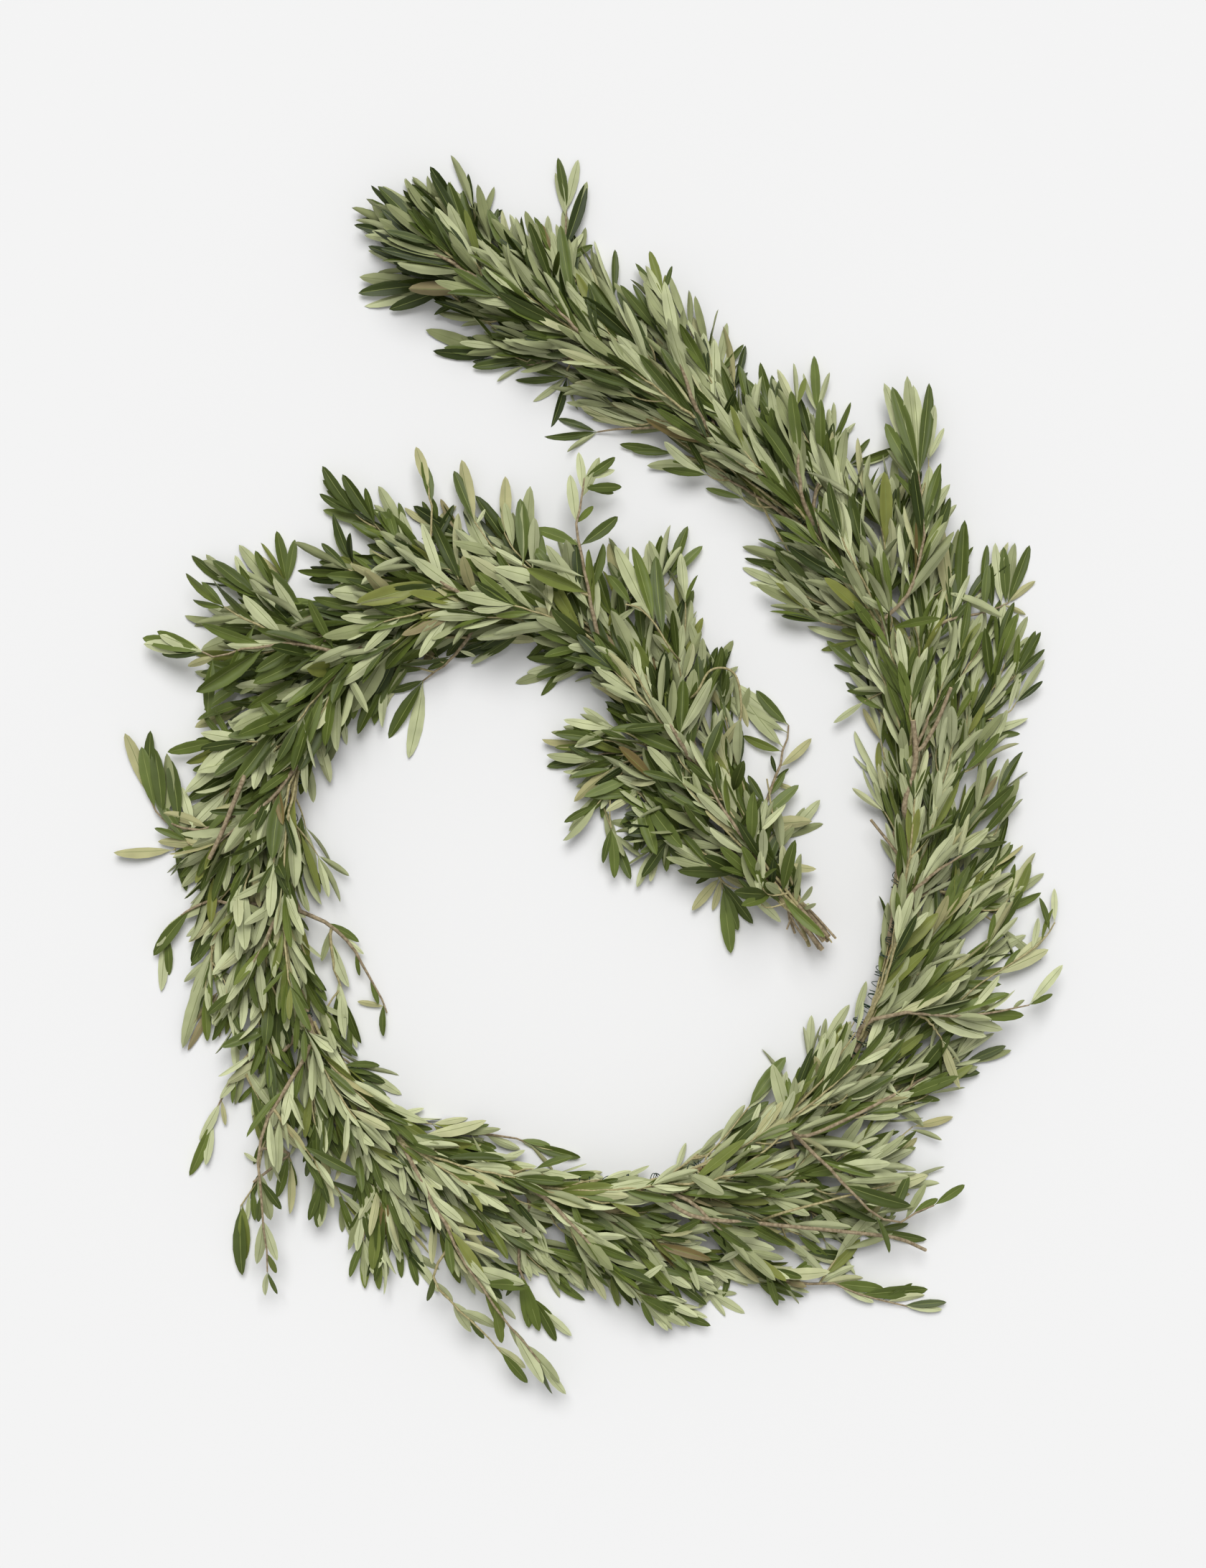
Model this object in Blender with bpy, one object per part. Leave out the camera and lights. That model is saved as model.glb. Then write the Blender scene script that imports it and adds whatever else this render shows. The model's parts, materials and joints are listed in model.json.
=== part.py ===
"""Olive branch garland, lying in an open loop on a flat surface. Metres, +Z up.

Leafy branches are laid along a base cord in bundles, each bundle over the stems of the
next, and one length of wire binds the cut ends of every bundle to the cord. The origin
is on the surface, under the middle of the garland's outline.
"""

import math
import random

import bmesh
import bpy
from mathutils import Matrix, Vector
from mathutils.bvhtree import BVHTree

# The lie of the garland is given in pixels of a view from straight above
PIXEL = 0.00072  # metres that one pixel covers, which makes the garland about 1.25 m long overall
VIEW_CENTRE = (812, 1078)  # pixel that the origin lies under

GAP = 0.0003  # between pieces that touch
SEED = 11

# Base cord
CORD_RADIUS = 0.002
CORD_HEIGHT = 0.022
FLAT_OF_CORD = 0.0004  # how far a flat of the six-sided cord lies inside its radius, at the side seats
CORD_ROUTE = [
    (1105, 1258), (1010, 1136), (912, 978), (857, 912), (792, 868), (710, 847), (623, 843),
    (541, 868), (481, 923), (442, 994), (412, 1080), (397, 1180), (398, 1289), (412, 1376),
    (440, 1458), (486, 1529), (552, 1584), (634, 1622), (732, 1644), (830, 1652), (923, 1644),
    (1010, 1617), (1092, 1567), (1158, 1502), (1205, 1425), (1236, 1344), (1254, 1256),
    (1264, 1169), (1266, 1081), (1262, 994), (1245, 912), (1207, 836), (1158, 765), (1098, 699),
    (1032, 639), (961, 584), (890, 530), (814, 481), (737, 437), (666, 393),
]

# Bindings, evenly spaced along the cord
BINDINGS = 20
FIRST_BINDING = 0.022
LAST_BINDING = 0.030  # from the far end
NECK_BEHIND = 0.020  # straight stretch of cord behind a binding
NECK_AHEAD = 0.010
ONWARD_AT = 0.045  # how far ahead the cord shows the way that a bundle's stems set off
BETWEEN_AT = 0.055  # place of the one bend between two necks

# Stems
BUTT_RADIUS = 0.0026
FORK_RADIUS = 0.0018
STEM_TIP_RADIUS = 0.0012
SHORTEST_SHOOT = 0.020
SET_OFF = 0.025  # first stretch of a shoot that passes a point on its way
TURN_AT = 0.42  # where a shoot's bend pulls it to, as a share of the way to its tip
TURN_EASE = 0.08  # how far that pull gives way to the tip
CURVE_STEPS = 24
MAIN_PIECES = 4  # straight pieces of a main stem past its binding
SIDE_PIECES = 2
TAIL_BUTT = 0.058  # bare length of the stems at the tail
TAIL_SPREAD = 0.5  # how much further apart the cut ends are there, as a share of their seat's radius
FORK_AT = 0.38  # share of the main stem before its side shoots part

# Seats of the stems round the cord, in degrees up from the outer side of the loop
SEAT_ANGLE = {"outer": 18, "crown": 90, "inner": 162, "below": -54}
STEM_END_HEIGHT = {"outer": 0.00125, "crown": 0.036, "inner": 0.00125, "below": 0.00125}
STEM_LIFT = {"outer": 0.002, "crown": 0.020, "inner": 0.002, "below": -0.002}
LIFT_CHANGES = (0, 0.004, -0.003, 0.008, 0.012, 0.016, 0.022, 0.030)  # tried in turn until stems lie clear

# Where the last leaf of each shoot points to: a list for each branch, with its main shoot first
SHOOT_TIPS = [
    {"outer": [(1025, 957), (1134, 1033)], "crown": [(945, 985)],
     "inner": [(848, 1148), (1018, 1328)], "below": [(1138, 1110)]},
    {"outer": [(1000, 880)], "crown": [(862, 900)], "inner": [(758, 1050), (785, 1175)]},
    {"outer": [(938, 732), (862, 758)], "crown": [(812, 630), (740, 678)], "inner": [(720, 955)]},
    {"outer": [(459, 657), (636, 642)], "crown": [(508, 700), (580, 622)],
     "inner": [(576, 1056), (530, 1010)]},
    {"outer": [(260, 777), (370, 742)], "crown": [(195, 889), (245, 822)], "inner": [(280, 985)]},
    {"outer": [(178, 1019), (166, 1190)], "crown": [(240, 1230), (445, 1195)]},
    {"outer": [(207, 1326), (247, 1462)], "crown": [(301, 1445), (385, 1440)],
     "inner": [(539, 1413), (478, 1379)]},
    {"outer": [(265, 1640), (327, 1778)], "crown": [(382, 1797), (440, 1712)], "inner": [(556, 1530)]},
    {"outer": [(502, 1797), (599, 1811)], "crown": [(784, 1942), (652, 1854)], "inner": [(804, 1626)]},
    {"outer": [(793, 1867)], "crown": [(950, 1850), (843, 1814)], "inner": [(912, 1655)]},
    {"outer": [(1322, 1817), (1015, 1838)], "crown": [(1130, 1800)]},
    {"outer": [(1290, 1742), (1205, 1780)], "crown": [(1345, 1650), (1281, 1582)],
     "inner": [(1170, 1395), (1085, 1482)]},
    {"outer": [(1410, 1465), (1280, 1555)], "crown": [(1482, 1345), (1365, 1490)]},
    {"outer": [(1475, 1240), (1466, 1300)], "crown": [(1403, 1125)], "inner": [(1188, 1020)]},
    {"outer": [(1425, 985), (1434, 857)], "crown": [(1335, 890), (1200, 905)]},
    {"outer": [(1443, 805), (1410, 755)], "crown": [(1264, 527), (1318, 672)],
     "inner": [(1065, 838), (1036, 783)]},
    {"outer": [(1176, 553), (1229, 590)], "crown": [(1103, 493)], "inner": [(960, 672), (1038, 753)]},
    {"outer": [(1003, 445), (1045, 498)], "crown": [(893, 350)], "inner": [(756, 603), (863, 618)]},
    {"outer": [(795, 215), (745, 304)], "crown": [(700, 330)], "inner": [(657, 510), (773, 565)]},
    {"outer": [(570, 246), (670, 254)], "crown": [(487, 303), (512, 262)],
     "inner": [(499, 379), (602, 494)]},
]

# A pixel that a shoot passes on its way to a tip, where it doesn't swing there in one bend
BY_WAY_OF = {
    (1025, 957): (1092, 1040),
    (178, 1019): (208, 1130),
    (539, 1413): (480, 1270),
    (265, 1640): (335, 1490),
    (804, 1626): (690, 1582),
    (1322, 1817): (1130, 1785),
    (1290, 1742): (1140, 1680),
}

# Leaves
LEAF_THICKNESS = 0.0008
LEAF_LENGTH = (0.058, 0.076)
END_LEAF_LENGTH = 0.054
LEAF_BREADTH = 0.22  # share of the length
LEAF_OUTLINE = [(1.0, 0.0), (0.66, 0.48), (0.27, 0.46), (0.0, 0.0), (0.27, -0.46), (0.66, -0.48)]
MAIN_PAIRS = (0.2, 0.47, 0.76)  # places of the leaf pairs, as shares of a main stem
SIDE_PAIRS = (0.68,)
LEAF_LEAN = (0.30, 0.65)  # radians forward from the stem that a leaf parts by
LEAF_CLIMB = (-0.30, 0.42)
LEAF_ROLL = (-0.5, 0.5)
LEAF_DROOP = (0.02, 0.14)  # share of its length that a leaf's tip drops by
RESTING_SWING = (-0.25, 0.25)
LEAF_TRIES = 14
ROOT_DEPTH = 0.003  # how far the end leaf is sunk in its stem
RESTING_ROOT = 0.006  # how far a leaf that lies on the surface starts behind the stem's end, under it
LEAF_ROOM = 0.0004  # kept free round each leaf
ON_SURFACE = -0.000001  # lowest that a leaf lying on the surface may come out at

# Binding wire
WIRE_RADIUS = 0.00045
WIRE_TURN_POINTS = 7
WIRE_TURN_LENGTH = 0.004
WIRE_UNDER_CORD = 0.0012  # room between the cord and the run under it
UNDER_FROM = -0.2  # sine of the turn's angle below which the wire passes under the cord

FOLIAGE_COLOURS = {"olive_leaf_green": (0.10, 0.15, 0.045), "olive_leaf_sage": (0.24, 0.30, 0.15)}
CORD_COLOUR = (0.36, 0.25, 0.13)
WIRE_COLOUR = (0.02, 0.06, 0.03)


class Path:
    """A line through points, read by the distance along it, which may aim past its end."""

    def __init__(self, points, aim=None):
        self.points = [Vector(point) for point in points]
        self.aim = aim
        self.marks = [0.0]
        for first, second in zip(self.points, self.points[1:]):
            self.marks.append(self.marks[-1] + (second - first).length)
        self.length = self.marks[-1]

    def segment(self, distance):
        """Number of the straight piece that a distance falls on."""
        ahead = [index for index, mark in enumerate(self.marks) if mark > distance]
        return ahead[0] - 1 if ahead and ahead[0] > 0 else len(self.points) - 2

    def at(self, distance):
        index = self.segment(distance)
        share = (distance - self.marks[index]) / (self.marks[index + 1] - self.marks[index])
        return self.points[index].lerp(self.points[index + 1], share)

    def heading(self, distance):
        index = self.segment(distance)
        return (self.points[index + 1] - self.points[index]).normalized()


def clear_scene():
    for obj in list(bpy.data.objects):
        bpy.data.objects.remove(obj, do_unlink=True)
    for collection in list(bpy.data.collections):
        bpy.data.collections.remove(collection)


def new_collection(name):
    collection = bpy.data.collections.new(name)
    bpy.context.scene.collection.children.link(collection)
    return collection


def new_material(name, colour, roughness):
    material = bpy.data.materials.new(name)
    material.use_nodes = True
    surface = material.node_tree.nodes["Principled BSDF"]
    surface.inputs["Base Color"].default_value = (*colour, 1.0)
    surface.inputs["Roughness"].default_value = roughness
    surface.inputs["Metallic"].default_value = 0.0
    return material


def from_view(pixel, height):
    """The point that a pixel of the view shows, at a height over the surface."""
    across = (pixel[0] - VIEW_CENTRE[0]) * PIXEL
    along = (VIEW_CENTRE[1] - pixel[1]) * PIXEL
    return Vector((across, along, height))


def smooth_line(points, steps):
    """Points on a smooth curve that passes through the given ones."""
    knots = [2 * points[0] - points[1], *points, 2 * points[-1] - points[-2]]
    line = []
    for before, start, end, after in zip(knots, knots[1:], knots[2:], knots[3:]):
        for step in range(steps):
            t = step / steps
            linear = (end - before) * t
            square = (2 * before - 5 * start + 4 * end - after) * t ** 2
            cube = (3 * start - before - 3 * end + after) * t ** 3
            line.append((2 * start + linear + square + cube) / 2)
    line.append(points[-1])
    return line


def neck_frames(route):
    """For each binding: its straight stretch of cord, and the directions there."""
    last = route.length - LAST_BINDING
    frames = []
    for number in range(BINDINGS):
        place = FIRST_BINDING + (last - FIRST_BINDING) * number / (BINDINGS - 1)
        back = route.at(place - NECK_BEHIND)
        front = route.at(place + NECK_AHEAD)
        ahead = (front - back).normalized()
        frames.append({
            "back": back,
            "front": front,
            "ahead": ahead,
            "onward": (route.at(place + ONWARD_AT) - front).normalized(),
            "between": route.at(place + BETWEEN_AT),
            "outward": ahead.cross(Vector((0, 0, 1))),
        })
    return frames


def tube_curve(name, points, radii, resolution):
    """A curve object with filled caps, a straight piece between each two points."""
    curve = bpy.data.curves.new(name, "CURVE")
    curve.dimensions = "3D"
    curve.bevel_depth = 1.0
    curve.bevel_resolution = resolution
    curve.use_fill_caps = True
    spline = curve.splines.new("POLY")
    spline.points.add(len(points) - 1)
    for knot, point, radius in zip(spline.points, points, radii):
        knot.co = (*point, 1.0)
        knot.radius = radius
    return bpy.data.objects.new(name, curve)


def mesh_of(obj):
    """The object's evaluated shape as a new mesh with its caps welded."""
    graph = bpy.context.evaluated_depsgraph_get()
    mesh = bpy.data.meshes.new_from_object(obj.evaluated_get(graph))
    shape = bmesh.new()
    shape.from_mesh(mesh)
    bmesh.ops.remove_doubles(shape, verts=shape.verts, dist=0.000001)
    shape.to_mesh(mesh)
    shape.free()
    mesh.transform(obj.matrix_world)
    return mesh


def tube_object(name, points, radii, collection):
    """A four-sided tube as a mesh object, ready to be joined."""
    curve = tube_curve(name, points, radii, 0)
    collection.objects.link(curve)
    mesh = mesh_of(curve)
    bpy.data.objects.remove(curve, do_unlink=True)
    tube = bpy.data.objects.new(name, mesh)
    collection.objects.link(tube)
    return tube


def leaf_blank():
    """A flat blade 1 long and 1 thick, split into triangles alike on both faces."""
    shape = bmesh.new()
    rim = bmesh.ops.create_circle(shape, cap_ends=True, radius=1.0, segments=len(LEAF_OUTLINE))["verts"]
    for vertex, (along, across) in zip(rim, LEAF_OUTLINE):
        vertex.co = (along, across, -0.5)
    bmesh.ops.connect_verts(shape, verts=[rim[2], rim[4]])  # across the blade near the root
    bmesh.ops.connect_verts(shape, verts=[rim[1], rim[5]])  # and near the tip
    bmesh.ops.triangulate(shape, faces=shape.faces[:])
    bmesh.ops.recalc_face_normals(shape, faces=shape.faces[:])
    sheet = bmesh.ops.extrude_face_region(shape, geom=shape.faces[:], use_keep_orig=True)["geom"]
    upper = [item for item in sheet if isinstance(item, bmesh.types.BMVert)]
    bmesh.ops.translate(shape, verts=upper, vec=(0, 0, 1))
    bmesh.ops.recalc_face_normals(shape, faces=shape.faces[:])
    blank = bpy.data.meshes.new("leaf_blank")
    shape.to_mesh(blank)
    shape.free()
    return blank


def leaf_points(blank, leaf, grow):
    """The blank's corners, stretched to the leaf's size, drooped and set at its root."""
    length = leaf["length"] + grow
    breadth = leaf["length"] * LEAF_BREADTH + 2 * grow
    thickness = LEAF_THICKNESS + 2 * grow
    across = leaf["normal"].cross(leaf["ahead"])
    points = []
    for vertex in blank.vertices:
        along, side, level = vertex.co
        rise = level * thickness - leaf["droop"] * length * along ** 2
        points.append(leaf["root"] + leaf["ahead"] * along * length + across * side * breadth
                      + leaf["normal"] * rise)
    return points


def faces_of(mesh):
    return [tuple(face.vertices) for face in mesh.polygons]


def bounds_of(points):
    low = Vector([min(point[axis] for point in points) for axis in range(3)])
    high = Vector([max(point[axis] for point in points) for axis in range(3)])
    return low, high


def add_placed(placed, owner, kind, points, faces):
    low, high = bounds_of(points)
    tree = BVHTree.FromPolygons(points, faces)
    placed.append({"owner": owner, "kind": kind, "tree": tree, "low": low, "high": high})


def is_clear(placed, owner, kind, points, faces):
    """Whether a shape crosses no placed one, apart from the stems of its own branch."""
    low, high = bounds_of(points)
    tree = BVHTree.FromPolygons(points, faces)
    for other in placed:
        if other["owner"] == owner and "stem" in (kind, other["kind"]):
            continue
        if any(low[axis] > other["high"][axis] or high[axis] < other["low"][axis] for axis in range(3)):
            continue
        if tree.overlap(other["tree"]):
            return False
    return True


def make_cord(necks, route, collection):
    """The cord, straight through each neck so that the stems lie along it."""
    points = []
    for neck in necks:
        points += [neck["back"], neck["front"], neck["between"]]
    points[-1] = route.points[-1]
    cord = tube_curve("base_cord", points, [CORD_RADIUS] * len(points), 1)
    cord.data.materials.append(new_material("cord_fibre", CORD_COLOUR, 0.9))
    collection.objects.link(cord)
    return cord


def make_wire(necks, collection):
    """One wire from tail to head, with a turn round every bundle and a run under the cord."""
    reach = (CORD_RADIUS + 2 * BUTT_RADIUS + 2 * GAP + WIRE_RADIUS) / math.cos(math.pi / WIRE_TURN_POINTS)
    points = []
    for number, neck in enumerate(necks):
        depth = reach if number == 0 else CORD_RADIUS + WIRE_RADIUS + WIRE_UNDER_CORD
        middle = neck["back"].lerp(neck["front"], 0.5)
        for step in range(WIRE_TURN_POINTS + 1):
            share = step / WIRE_TURN_POINTS
            angle = math.tau * share - math.pi / 2
            drop = reach if math.sin(angle) > UNDER_FROM else depth
            advance = (share - 0.5) * WIRE_TURN_LENGTH
            points.append(middle + neck["ahead"] * advance + neck["outward"] * reach * math.cos(angle)
                          + Vector((0, 0, drop * math.sin(angle))))
        points.append(neck["between"] - Vector((0, 0, depth)))
    points.pop()
    wire = tube_curve("binding_wire", points, [WIRE_RADIUS] * len(points), 0)
    wire.data.materials.append(new_material("green_enamel_wire", WIRE_COLOUR, 0.35))
    collection.objects.link(wire)
    return wire


def bend_to(start, onward, tip_pixel):
    """A flat curve that sets off along a heading and swings round to the tip."""
    flat_start = Vector((start.x, start.y, 0))
    flat_tip = from_view(tip_pixel, 0)
    if tip_pixel in BY_WAY_OF:
        set_off = flat_start + onward * SET_OFF
        return Path(smooth_line([flat_start, set_off, from_view(BY_WAY_OF[tip_pixel], 0), flat_tip], 8))
    turn = flat_start + onward * (flat_tip - flat_start).length * TURN_AT
    turn = turn.lerp(flat_tip, TURN_EASE)
    curve = []
    for step in range(CURVE_STEPS + 1):
        t = step / CURVE_STEPS
        curve.append(flat_start * (1 - t) ** 2 + turn * 2 * t * (1 - t) + flat_tip * t ** 2)
    return Path(curve)


def shoot_line(start, onward, tip_pixel, end_height, lift, pieces):
    """A shoot's stem, which stops short of the tip by the length of its last leaf and aims at it."""
    curve = bend_to(start, onward, tip_pixel)
    reach = max(curve.length - END_LEAF_LENGTH, SHORTEST_SHOOT)
    line = []
    for number in range(pieces + 1):
        share = number / pieces
        point = curve.at(reach * share)
        point.z = start.z + (end_height - start.z) * share + 4 * lift * share * (1 - share)
        line.append(point)
    aim = curve.points[-1] - line[-1]
    return Path(line, Vector((aim.x, aim.y, 0)).normalized())


def taper(first, last, count):
    return [first + (last - first) * number / (count - 1) for number in range(count)]


def plan_branch(number, side, necks, placed, collection):
    """Lay a branch's stems in the first lie that clears the ones before it."""
    neck = necks[number]
    seat = math.radians(SEAT_ANGLE[side])
    ring = CORD_RADIUS + BUTT_RADIUS + GAP
    if side != "crown":
        ring -= FLAT_OF_CORD
    offset = (neck["outward"] * math.cos(seat) + Vector((0, 0, 1)) * math.sin(seat)) * ring
    butt = neck["back"] + offset
    if number == 0:
        butt = butt - neck["ahead"] * TAIL_BUTT + offset * TAIL_SPREAD
    start = neck["front"] + offset
    tips = SHOOT_TIPS[number][side]
    name = f"branch_{number + 1:02d}_{side}"
    for lift_change in LIFT_CHANGES:
        lift = STEM_LIFT[side] + lift_change
        trunk = shoot_line(start, neck["onward"], tips[0], STEM_END_HEIGHT[side], lift, MAIN_PIECES)
        shoots = [trunk]
        fork = trunk.length * FORK_AT
        for tip in tips[1:]:
            shoots.append(shoot_line(trunk.at(fork), trunk.heading(fork), tip, STEM_END_HEIGHT[side],
                                     lift_change / 2, SIDE_PIECES))
        radii = [BUTT_RADIUS, *taper(BUTT_RADIUS, STEM_TIP_RADIUS, MAIN_PIECES + 1)]
        stems = [tube_object(f"{name}_stem", [butt, *trunk.points], radii, collection)]
        for shoot in shoots[1:]:
            stems.append(tube_object(f"{name}_side_stem", shoot.points,
                                     taper(FORK_RADIUS, STEM_TIP_RADIUS, SIDE_PIECES + 1), collection))
        if all(is_clear(placed, name, "stem", [v.co for v in stem.data.vertices], faces_of(stem.data))
               for stem in stems):
            break
        if lift_change != LIFT_CHANGES[-1]:
            for stem in stems:
                bpy.data.objects.remove(stem, do_unlink=True)
    for stem in stems:
        add_placed(placed, name, "stem", [v.co for v in stem.data.vertices], faces_of(stem.data))
    return {"name": name, "side": side, "stems": stems, "shoots": shoots, "leaves": []}


def leaf_frame(shoot, place, sideways, length, draw, resting):
    """Root, direction and facing of one leaf, leaning forward from its stem."""
    heading = shoot.heading(place) if sideways else shoot.aim
    flat = Vector((heading.x, heading.y, 0)).normalized()
    level = Vector((0, 0, 1)).cross(flat)
    if resting:
        ahead = Matrix.Rotation(draw.uniform(*RESTING_SWING), 3, "Z") @ flat
        root = shoot.points[-1] - ahead * RESTING_ROOT
        root.z = LEAF_THICKNESS / 2
        return {"root": root, "ahead": ahead, "normal": Vector((0, 0, 1)), "length": length, "droop": 0.0}
    lean = draw.uniform(*LEAF_LEAN) * sideways
    climb = draw.uniform(*LEAF_CLIMB)
    ahead = heading * math.cos(lean) + level * math.sin(lean) + Vector((0, 0, math.sin(climb)))
    ahead.normalize()
    upward = Vector((0, 0, 1)) - ahead * ahead.z
    normal = Matrix.Rotation(draw.uniform(*LEAF_ROLL), 3, ahead) @ upward.normalized()
    return {"root": shoot.at(place), "ahead": ahead, "normal": normal, "length": length,
            "droop": draw.uniform(*LEAF_DROOP)}


def try_leaf(branch, shoot, place, sideways, length, blank, placed, draw, resting):
    """Keep drawing one leaf until it clears its neighbours and the surface."""
    faces = faces_of(blank)
    for attempt in range(LEAF_TRIES):
        lies = resting and attempt < LEAF_TRIES // 2
        leaf = leaf_frame(shoot, place, sideways, length, draw, lies)
        room = leaf_points(blank, leaf, LEAF_ROOM)
        lowest = min(point.z for point in leaf_points(blank, leaf, 0))
        if lowest < ON_SURFACE or (not lies and lowest < GAP):
            continue
        if is_clear(placed, branch["name"], "leaf", room, faces):
            add_placed(placed, branch["name"], "leaf", room, faces)
            branch["leaves"].append(leaf)
            return


def set_leaves(branches, blank, placed, draw):
    """The end leaf of every shoot first, then the pairs along them."""
    for branch in branches:
        resting = branch["side"] != "crown"
        for shoot in branch["shoots"]:
            end = shoot.length - ROOT_DEPTH
            try_leaf(branch, shoot, end, 0.0, END_LEAF_LENGTH, blank, placed, draw, resting)
    for branch in branches:
        for shoot in branch["shoots"]:
            pairs = MAIN_PAIRS if shoot is branch["shoots"][0] else SIDE_PAIRS
            for share in pairs:
                place = shoot.length * share
                for sideways in (-1, 1):
                    length = draw.uniform(*LEAF_LENGTH)
                    try_leaf(branch, shoot, place, sideways, length, blank, placed, draw, False)


def is_closed(mesh):
    shape = bmesh.new()
    shape.from_mesh(mesh)
    closed = all(edge.is_manifold for edge in shape.edges)
    shape.free()
    return closed


def fuse_branch(branch, blank, material, parts):
    """Join a branch's stems and leaves in one body by a Boolean union."""
    pieces = new_collection(branch["name"] + "_pieces")
    trunk = branch["stems"][0]
    for number, leaf in enumerate(branch["leaves"]):
        mesh = blank.copy()
        for vertex, point in zip(mesh.vertices, leaf_points(blank, leaf, 0)):
            vertex.co = point
        pieces.objects.link(bpy.data.objects.new(f"{branch['name']}_leaf_{number}", mesh))
    for stem in branch["stems"][1:]:
        stem.users_collection[0].objects.unlink(stem)
        pieces.objects.link(stem)
    union = trunk.modifiers.new("union", "BOOLEAN")
    union.operation = "UNION"
    union.operand_type = "COLLECTION"
    union.collection = pieces
    for solver in ("EXACT", "MANIFOLD"):
        union.solver = solver
        mesh = mesh_of(trunk)
        if is_closed(mesh):
            break
    bpy.data.objects.remove(trunk, do_unlink=True)
    for piece in list(pieces.objects):
        bpy.data.objects.remove(piece, do_unlink=True)
    bpy.data.collections.remove(pieces)
    body = bpy.data.objects.new(branch["name"], mesh)
    mesh.materials.clear()
    mesh.materials.append(material)
    parts.objects.link(body)


def main():
    clear_scene()
    draw = random.Random(SEED)
    parts = new_collection("olive_branch_garland")
    loose = new_collection("loose_pieces")
    route = Path(smooth_line([from_view(pixel, CORD_HEIGHT) for pixel in CORD_ROUTE], 8))
    necks = neck_frames(route)
    placed = []
    for obj in (make_cord(necks, route, parts), make_wire(necks, parts)):
        mesh = mesh_of(obj)
        add_placed(placed, obj.name, "stem", [v.co for v in mesh.vertices], faces_of(mesh))
    branches = []
    for number, bundle in enumerate(SHOOT_TIPS):
        for side in bundle:
            branches.append(plan_branch(number, side, necks, placed, loose))
    blank = leaf_blank()
    set_leaves(branches, blank, placed, draw)
    foliage = [new_material(name, colour, 0.55) for name, colour in FOLIAGE_COLOURS.items()]
    for number, branch in enumerate(branches):
        fuse_branch(branch, blank, foliage[number % 2], parts)
    bpy.data.meshes.remove(blank)
    bpy.data.collections.remove(loose)


main()
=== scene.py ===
import json
import math
import random

import bmesh
import bpy
from mathutils import Matrix, Vector
from mathutils.kdtree import KDTree


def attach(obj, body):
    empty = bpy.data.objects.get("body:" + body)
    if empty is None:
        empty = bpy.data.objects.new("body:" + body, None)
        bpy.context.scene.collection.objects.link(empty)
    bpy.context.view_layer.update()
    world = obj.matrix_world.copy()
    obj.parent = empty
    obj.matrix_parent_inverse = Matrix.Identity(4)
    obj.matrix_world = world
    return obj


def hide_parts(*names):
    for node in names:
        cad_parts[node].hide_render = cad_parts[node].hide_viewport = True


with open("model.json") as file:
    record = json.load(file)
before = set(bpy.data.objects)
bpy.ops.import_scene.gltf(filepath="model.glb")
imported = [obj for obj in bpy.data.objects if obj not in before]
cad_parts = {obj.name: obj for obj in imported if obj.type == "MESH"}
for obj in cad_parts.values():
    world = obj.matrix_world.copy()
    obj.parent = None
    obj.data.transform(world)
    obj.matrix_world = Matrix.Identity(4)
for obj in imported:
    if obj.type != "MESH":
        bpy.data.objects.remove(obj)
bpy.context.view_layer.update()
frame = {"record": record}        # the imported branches, cord and wire of the garland
bpy.ops.object.select_all(action="DESELECT")
up = Vector((0, 0, 1))

# The garland is laid out by the pixels of a view from straight above
view = {
    "size": (1680, 2184),
    "pixel": 0.00072,  # metres that one pixel covers
    "origin": (812, 1078),  # the pixel that the origin lies under
    "cameraHeight": 3.2,
    "trueScaleHeight": 0.02,  # height over the surface at which the pixels are true
}

layout = {
    "cordHeight": 0.022,
    "cordRoute": [
        (1105, 1258), (1010, 1136), (912, 978), (857, 912), (792, 868), (710, 847), (623, 843),
        (541, 868), (481, 923), (442, 994), (412, 1080), (397, 1180), (398, 1289), (412, 1376),
        (440, 1458), (486, 1529), (552, 1584), (634, 1622), (732, 1644), (830, 1652), (923, 1644),
        (1010, 1617), (1092, 1567), (1158, 1502), (1205, 1425), (1236, 1344), (1254, 1256),
        (1264, 1169), (1266, 1081), (1262, 994), (1245, 912), (1207, 836), (1158, 765), (1098, 699),
        (1032, 639), (961, 584), (890, 530), (814, 481), (737, 437), (666, 393),
    ],
    "bindings": 20,
    "firstBinding": 0.022,
    "lastBinding": 0.030,  # from the far end
    "neckBehind": 0.020,  # straight stretch of cord behind a binding
    "neckAhead": 0.010,
    "onwardAt": 0.045,
    "betweenAt": 0.055,
    # How far the leaves reach from the cord, in millimetres, at each binding and halfway to the next
    "outerReach": [
        30, 65, 75, 85, 105, 95, 110, 115, 145, 165, 115, 145, 120, 105, 105, 110, 125, 135, 125, 105, 130,
        140, 165, 155, 114, 134, 130, 130, 110, 122, 150, 110, 150, 105, 95, 85, 100, 98, 104, 84, 70,
    ],
    "innerReach": [
        50, 80, 110, 115, 74, 56, 46, 56, 55, 68, 38, 10, 30, 26, 36, 36, 30, 38, 30, 24, 6,
        12, 34, 46, 38, 4, 8, 8, 30, 30, 44, 60, 62, 22, 16, 34, 54, 52, 56, 50, 36,
    ],
    "headReach": 0.142,  # past the end of the cord
    "headNarrows": 0.35,  # share of its breadth that the band loses over that reach
}

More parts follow.
